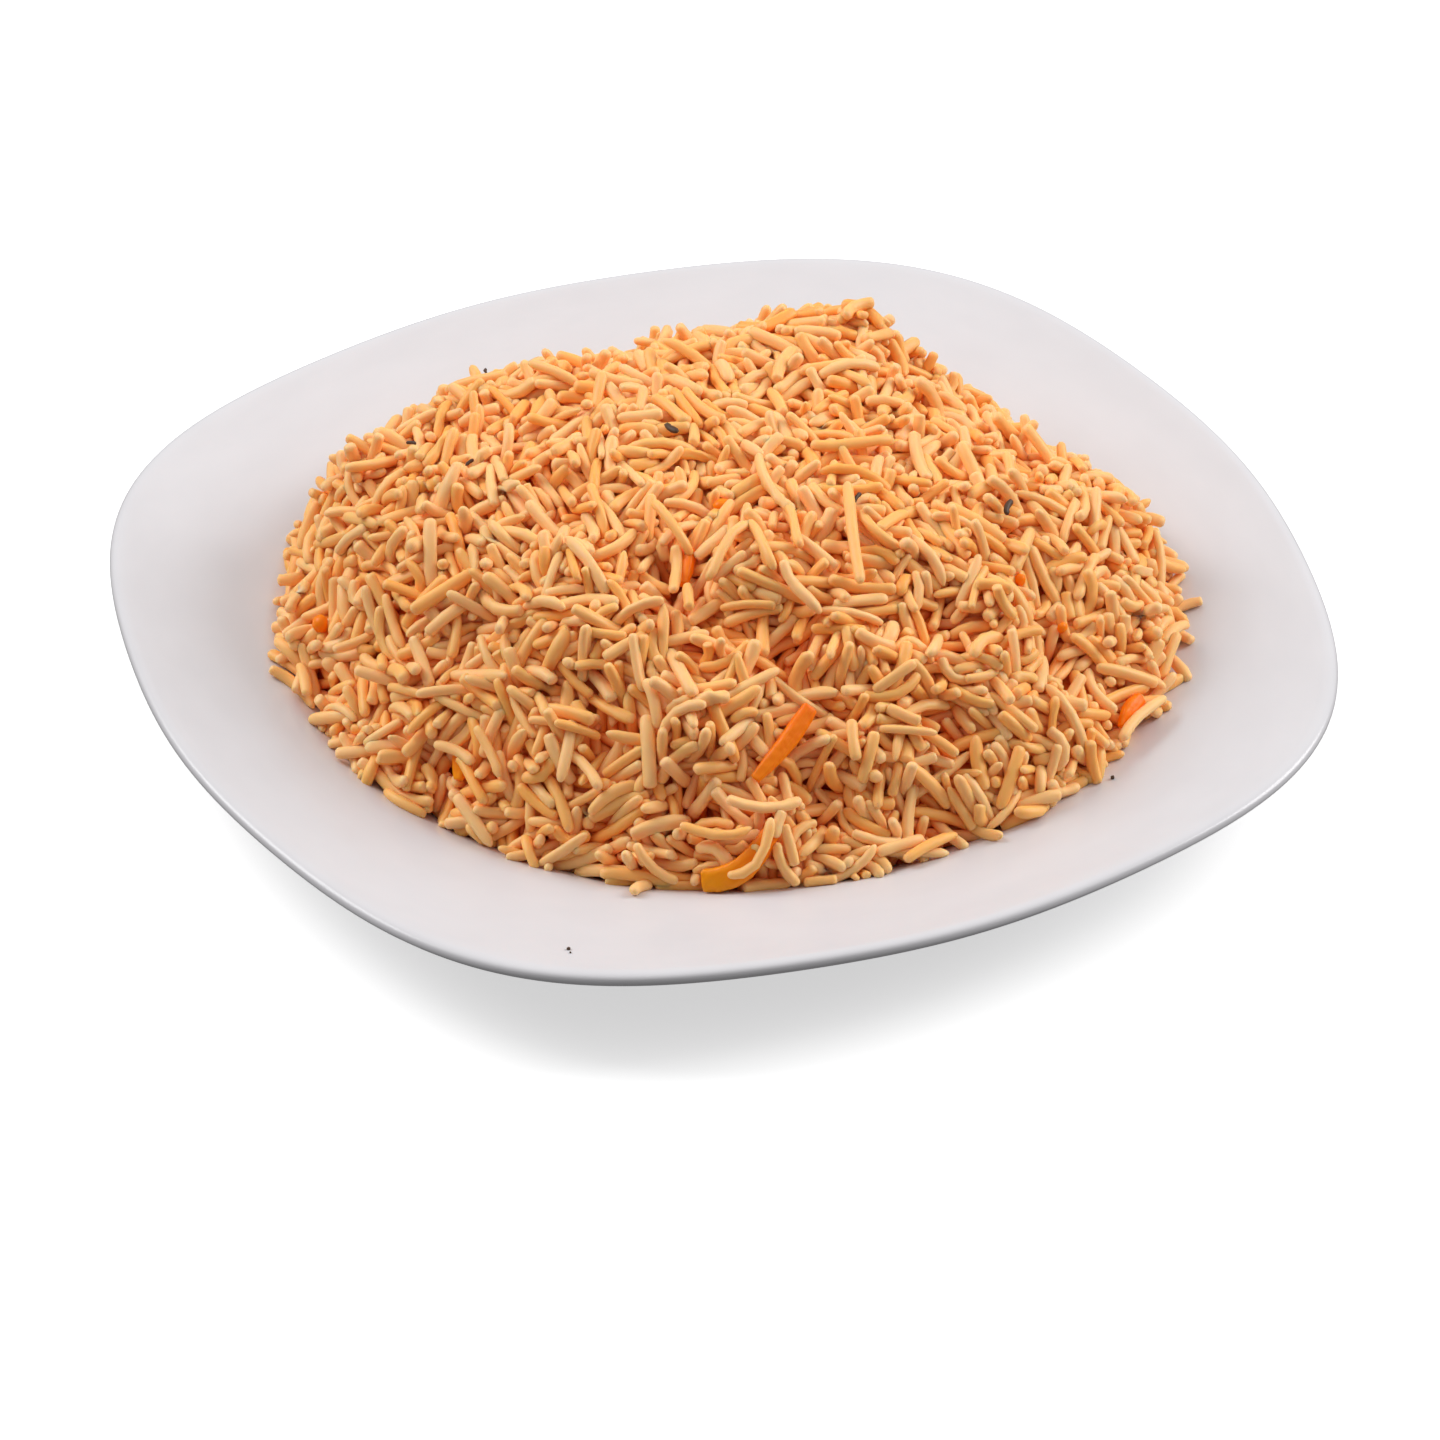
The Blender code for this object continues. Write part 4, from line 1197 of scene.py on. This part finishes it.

# %% [markdown]
# ## The carrot
#
# Five strips of cooked carrot lie in the heap. Their CAD solids have the right form but flat
# faces and sharp edges. A voxel remesh gives each an even skin, a little smoothing rounds the
# knife's edges, and fine procedural clouds make it uneven, as soft carrot is. The clouds move
# the skin by a tenth of a millimetre only, so each strip keeps the form of its solid.

# %% Carrot strips
STRIP_VOXEL = 0.28 * MM
STRIP_UNEVEN = 0.25 * MM
CLOUD_SIZE = 1.6 * MM
SMOOTHINGS = 5


def bake_modifiers(piece):
    """Makes the piece's modifiers part of its mesh."""
    graph = bpy.context.evaluated_depsgraph_get()
    mesh = bpy.data.meshes.new_from_object(piece.evaluated_get(graph))
    piece.modifiers.clear()
    piece.data = mesh


strip_clouds = bpy.data.textures.new("strip_clouds", "CLOUDS")
strip_clouds.noise_scale = CLOUD_SIZE


def make_strip(name):
    """The CAD strip with an even skin, rounded edges and soft unevenness."""
    mesh = nodes[name].data.copy()
    mesh.materials.clear()
    piece = add_object(name + "_flesh", mesh)
    remesh = piece.modifiers.new("even skin", "REMESH")
    remesh.mode = "VOXEL"
    remesh.voxel_size = STRIP_VOXEL
    smooth = piece.modifiers.new("rounded edges", "SMOOTH")
    smooth.iterations = SMOOTHINGS
    uneven = piece.modifiers.new("soft unevenness", "DISPLACE")
    uneven.texture = strip_clouds
    uneven.strength = STRIP_UNEVEN
    bake_modifiers(piece)
    points = np.array([v.co for v in piece.data.vertices])
    middle, axes, half = strip_axes(name)
    place = (points - middle) @ axes.T / half
    add_numbers(piece.data, {"along": place[:, 0] / 2 + 0.5, "across": place[:, 1] / 2 + 0.5})
    shade_smooth(piece.data)
    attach(piece, "root")
    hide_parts(name)
    print(piece.name, triangle_count(piece), "triangles")
    return piece


strips = {name: make_strip(name) for name in STRIPS}

# %% [markdown]
# Carrot flesh is wet, bright orange and lets light in a little. Fibres run along it: noise
# stretched across the strip's length gives fine streaks, lighter and darker.

# %% Carrot material
FIBRE_STRETCH = (3, 14, 0)
AMBER_STRIPS = ("carrot_front", "carrot_left")


def carrot_material(name, near_end, far_end):
    """Wet flesh with fibres, in one colour at one end of the strip and one at the other."""
    material, tree, shader = new_material(name)
    along, across = attribute(tree, "along"), attribute(tree, "across")
    place = add_node(tree, "ShaderNodeCombineXYZ")
    stretch = add_node(tree, "ShaderNodeVectorMath", operation="MULTIPLY")
    stretch.inputs[1].default_value = FIBRE_STRETCH
    fibres = add_node(tree, "ShaderNodeTexNoise", Scale=1.0, Detail=3.0)
    tree.links.new(along, place.inputs["X"])
    tree.links.new(across, place.inputs["Y"])
    tree.links.new(place.outputs["Vector"], stretch.inputs[0])
    tree.links.new(stretch.outputs["Vector"], fibres.inputs["Vector"])
    flesh = blend_colours(tree, along, near_end, far_end)
    streaks = map_range(tree, fibres.outputs["Fac"], 0.35, 0.7)
    lit = blend_colours(tree, streaks, flesh, colour(255, 158, 12))
    soft = map_range(tree, fibres.outputs["Fac"], 0.3, 0.8, 0.0, 0.45)
    mixed = blend_colours(tree, soft, flesh, lit)
    tree.links.new(mixed, shader.inputs["Base Color"])
    bump = add_node(tree, "ShaderNodeBump", Strength=0.35, Distance=0.0002)
    tree.links.new(fibres.outputs["Fac"], bump.inputs["Height"])
    tree.links.new(bump.outputs["Normal"], shader.inputs["Normal"])
    shader.inputs["Roughness"].default_value = 0.36
    shader.inputs["Specular IOR Level"].default_value = 0.25
    shader.inputs["Subsurface Weight"].default_value = 0.35
    shader.inputs["Subsurface Radius"].default_value = (1.0, 0.45, 0.08)
    shader.inputs["Subsurface Scale"].default_value = 0.0012
    return material


amber_carrot = carrot_material("amber_carrot", colour(244, 154, 0), colour(250, 112, 0))
red_carrot = carrot_material("red_carrot", colour(253, 130, 0), colour(252, 116, 0))
for name, piece in strips.items():
    piece.data.materials.clear()
    piece.data.materials.append(amber_carrot if name in AMBER_STRIPS else red_carrot)

# %% [markdown]
# ## Scraps
#
# Small bits of carrot show between the grains, and a few crumbs of spice lie on the plate.
# Each bit is a ball with few faces, squashed and dented at random.

# %% Places of the scraps
# Right, away and up in millimetres, and how long the bit is
CARROT_BITS = [(-84.6, -15.3, 30, 3.4), (67.8, -23.6, 50, 3.0), (77.0, -31.0, 42, 2.8),
               (0.5, -16, 61, 3.2), (-31, 12, 62, 1.8), (-2, -4, 62, 1.6)]
# Right, away and size in millimetres
CRUMBS = [(-30.6, -117.6, 0.8), (-30.2, -119.0, 0.5), (88.2, -31.2, 0.7), (81, -54.9, 0.9)]
BIT_SUNK = 1.2 * MM
CRUMB_LIFT = 0.35
print(len(CARROT_BITS), "bits of carrot and", len(CRUMBS), "crumbs")

# %% Make the scraps
BIT_DENTS = 0.06


def make_scraps(name, places, sizes, squash):
    """One mesh of dented little balls of those sizes."""
    shape = bmesh.new()
    for place, size in zip(places, sizes):
        ball = bmesh.ops.create_icosphere(shape, subdivisions=2, radius=size / 2)["verts"]
        stretch = rng.uniform(*squash, 3)
        for corner in ball:
            dent = 1 + rng.normal(0, BIT_DENTS)
            corner.co = Vector(np.array(corner.co) * stretch * dent + place)
    mesh = bpy.data.meshes.new(name)
    shape.to_mesh(mesh)
    shape.free()
    shade_smooth(mesh)
    piece = add_object(name, mesh)
    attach(piece, "root")
    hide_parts("rice")
    print(name, len(places), "of them,", triangle_count(piece), "triangles")
    return piece


bit_rows = np.array(CARROT_BITS) * MM
bit_places = bit_rows[:, :1] * right + bit_rows[:, 1:2] * away + bit_rows[:, 2:3] * [0, 0, 1]
bit_places = onto_skin(bit_places, -BIT_SUNK)
bits = make_scraps("carrot_bits", bit_places, bit_rows[:, 3], (0.6, 1.3))
bits.data.materials.append(red_carrot)

crumb_rows = np.array(CRUMBS) * MM
crumb_places = crumb_rows[:, :1] * right + crumb_rows[:, 1:2] * away
crumb_places[:, 2] = plate_height(crumb_places) + crumb_rows[:, 2] * CRUMB_LIFT
crumbs = make_scraps("crumbs", crumb_places, crumb_rows[:, 2], (0.7, 1.1))

# %% [markdown]
# ## Cumin
#
# The seeds are dark brown spindles with fine pale ribs. Their ribs are part of the mesh, so
# the material only needs a dark colour with a little variation.

# %% Cumin material
def cumin_material():
    """A dry dark husk."""
    material, tree, shader = new_material("cumin_husk")
    noise = add_node(tree, "ShaderNodeTexNoise", Scale=1500.0, Detail=2.0)
    husk = ramp_of(tree, noise.outputs["Fac"], [
        (0.3, colour(52, 30, 16)), (0.6, colour(84, 54, 30)), (0.8, colour(120, 86, 50)),
    ])
    tree.links.new(husk, shader.inputs["Base Color"])
    shader.inputs["Roughness"].default_value = 0.55
    return material


cumin_finish = cumin_material()
cumin.data.materials.append(cumin_finish)
crumbs.data.materials.append(cumin_finish)

# %% [markdown]
# ## The plate
#
# White porcelain, a rounded square with a wide sloping rim. The CAD plate has few sides, so
# a smoother one is lofted from the same profile: its outline is a circle whose corners swell
# and whose sides draw in. The lip has two bands with a small ledge between them, which only
# shows from the side. All rings have the same number of points, so the loft is plain.

# %% Profile of the plate
CORNER_SWELL = 0.037
CORNER_ROUNDING = 0.007
PLATE_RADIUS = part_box("plate")[1].x / (1 - CORNER_SWELL + CORNER_ROUNDING)
# Share of the radius, height in millimetres, and squareness from 0, round, to 1
PLATE_PROFILE = [
    (0.0, 2.5, 0), (0.480, 2.5, 0), (0.500, 2.4, 0), (0.506, 1.2, 0), (0.509, 0.3, 0),
    (0.516, 0, 0), (0.549, 0, 0), (0.556, 0.4, 0), (0.564, 1.7, 0), (0.576, 3, 0),
    (0.66, 6.5, 0), (0.705, 9.8, 0.05), (0.745, 13.2, 0.2), (0.86, 16.7, 0.6),
    (0.962, 19.7, 0.95), (0.981, 20.3, 1), (0.988, 20.7, 1), (0.9905, 21.2, 1),
    (0.9915, 21.7, 1), (0.9935, 21.9, 1), (0.998, 22.0, 1), (0.9998, 22.2, 1), (1.0, 22.7, 1),
    (0.9992, 23.2, 1), (0.997, 23.6, 1), (0.9935, 23.86, 1), (0.989, 23.97, 1),
    (0.984, 24.0, 1), (0.976, 23.88, 0.97), (0.955, 23.25, 0.9), (0.9, 22.0, 0.75),
    (0.82, 20.1, 0.45), (0.755, 18.5, 0.22), (0.735, 17.9, 0.18), (0.715, 16.7, 0.1),
    (0.68, 14, 0), (0.65, 11.5, 0), (0.62, 9.3, 0), (0.59, 8.2, 0), (0.56, 8, 0), (0.0, 8, 0),
]


print("the profile has", len(PLATE_PROFILE), "points")

# %% Plate
PLATE_SIDES = 288


def make_plate():
    """The plate, lofted from rings that are more square the further out they are."""
    angle = np.linspace(0, 2 * math.pi, PLATE_SIDES, endpoint=False)
    swell = CORNER_SWELL * np.cos(4 * angle) - CORNER_ROUNDING * np.cos(8 * angle)
    rings = []
    for share, height, squareness in PLATE_PROFILE:
        reach = PLATE_RADIUS * share * (1 - squareness * swell)
        level = 0 * angle + height * MM
        rings.append(np.stack([reach * np.cos(angle), reach * np.sin(angle), level], axis=1))
    middle = [[0, 0, rings[0][0, 2]], [0, 0, rings[-1][0, 2]]]
    points = np.concatenate([*rings[1:-1], middle])
    low, high = len(points) - 2, len(points) - 1
    faces = []
    for k in range(PLATE_SIDES):
        n = (k + 1) % PLATE_SIDES
        for row in range(len(rings) - 3):
            a, b = row * PLATE_SIDES, (row + 1) * PLATE_SIDES
            faces.append((a + k, a + n, b + n, b + k))
        faces.append((low, n, k))
        faces.append((high, b + k, b + n))
    piece = new_mesh("porcelain_plate", points, faces)
    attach(piece, "root")
    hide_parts("plate")
    print("plate", triangle_count(piece), "triangles, radius", round(PLATE_RADIUS / MM, 1), "mm")
    return piece


plate = make_plate()

# %% [markdown]
# A glaze is a thin layer of glass over a white body: a smooth coat over a softer base. Very
# broad and shallow bumps keep its reflections from being perfect.

# %% Glaze
def glaze_material():
    """White glaze, a little wavy."""
    material, tree, shader = new_material("white_glaze")
    cloud = add_node(tree, "ShaderNodeTexNoise", Scale=14.0, Detail=2.0)
    body = ramp_of(tree, cloud.outputs["Fac"], [
        (0.3, colour(212, 210, 213)), (0.7, colour(215, 213, 216)),
    ])
    tree.links.new(body, shader.inputs["Base Color"])
    ripple = add_node(tree, "ShaderNodeTexNoise", Scale=90.0, Detail=1.0)
    bump = add_node(tree, "ShaderNodeBump", Strength=0.15, Distance=0.0001)
    tree.links.new(ripple.outputs["Fac"], bump.inputs["Height"])
    tree.links.new(bump.outputs["Normal"], shader.inputs["Normal"])
    shader.inputs["Roughness"].default_value = 0.32
    shader.inputs["Coat Weight"].default_value = 0.3
    shader.inputs["Coat Roughness"].default_value = 0.18
    return material


plate.data.materials.append(glaze_material())

# %% [markdown]
# ## Light, floor and room
#
# Two wide lamps hang above the plate, one to the left and one to the right, both a little
# behind it, so the front of the heap falls into a soft shade. The room is a dome that is
# bright overhead, a little to the back, and dim at the horizon. The floor is white and shines
# a little by itself, as a backlit table does, which keeps the shadow on it light. It throws
# no light back at the plate, so the lip stays grey. Light goes from grain to grain many times
# before it comes out of the heap and turns warmer each time, so more bounces are allowed.

# %% Lamps
def add_lamp(name, place, size, power):
    """A square lamp at a place, turned to the middle of the plate."""
    lamp = bpy.data.lights.new(name, "AREA")
    lamp.energy = power
    lamp.size = size
    thing = add_object(name, lamp)
    thing.location = place
    thing.rotation_euler = Vector(place).to_track_quat("Z", "Y").to_euler()


def toward(x, y, z):
    """A place given to the right, away from the viewer and up."""
    return right * x + away * y + np.array([0, 0, z])


# Place, size in metres and power in watts
LAMPS = {
    "key_light": (toward(-1.3, 0.45, 1.25), 1.1, 21),
    "side_light": (toward(1.45, 0.4, 0.95), 1.0, 21.5),
}
for name, settings in LAMPS.items():
    add_lamp(name, *settings)
print(len(LAMPS), "lamps")

# %% Room
DOME_STRENGTH = 0.65
DOME_HORIZON = 0.3
DOME_LEAN = toward(0.0, 0.3, 1.0)
LIGHT_BOUNCES = 8

world = bpy.data.worlds.new("studio")
world.use_nodes = True
sky = world.node_tree
direction = add_node(sky, "ShaderNodeTexCoord")
height = add_node(sky, "ShaderNodeVectorMath", operation="DOT_PRODUCT")
sky.links.new(direction.outputs["Generated"], height.inputs[0])
height.inputs[1].default_value = Vector(DOME_LEAN).normalized()
dome = map_range(sky, height.outputs["Value"], 0.0, 0.9, DOME_HORIZON, 1.0)
sky.links.new(dome, sky.nodes["Background"].inputs["Color"])
sky.nodes["Background"].inputs["Strength"].default_value = DOME_STRENGTH
bpy.context.scene.world = world
bpy.context.scene.view_settings.view_transform = "Standard"
bpy.context.scene.cycles.diffuse_bounces = LIGHT_BOUNCES

# %% Floor
FLOOR_REACH = 3.0
corners = [(-FLOOR_REACH, -FLOOR_REACH, 0), (FLOOR_REACH, -FLOOR_REACH, 0),
           (FLOOR_REACH, FLOOR_REACH, 0), (-FLOOR_REACH, FLOOR_REACH, 0)]
floor = new_mesh("floor", corners, [(0, 1, 2, 3)])
floor_finish, _, floor_shader = new_material("white_floor")
floor_shader.inputs["Base Color"].default_value = (0.9, 0.9, 0.9, 1)
floor_shader.inputs["Roughness"].default_value = 1.0
floor_shader.inputs["Specular IOR Level"].default_value = 0.0
floor_shader.inputs["Emission Color"].default_value = (1, 1, 1, 1)
floor_shader.inputs["Emission Strength"].default_value = 0.5
floor.data.materials.append(floor_finish)
floor.visible_diffuse = False
floor.visible_glossy = False
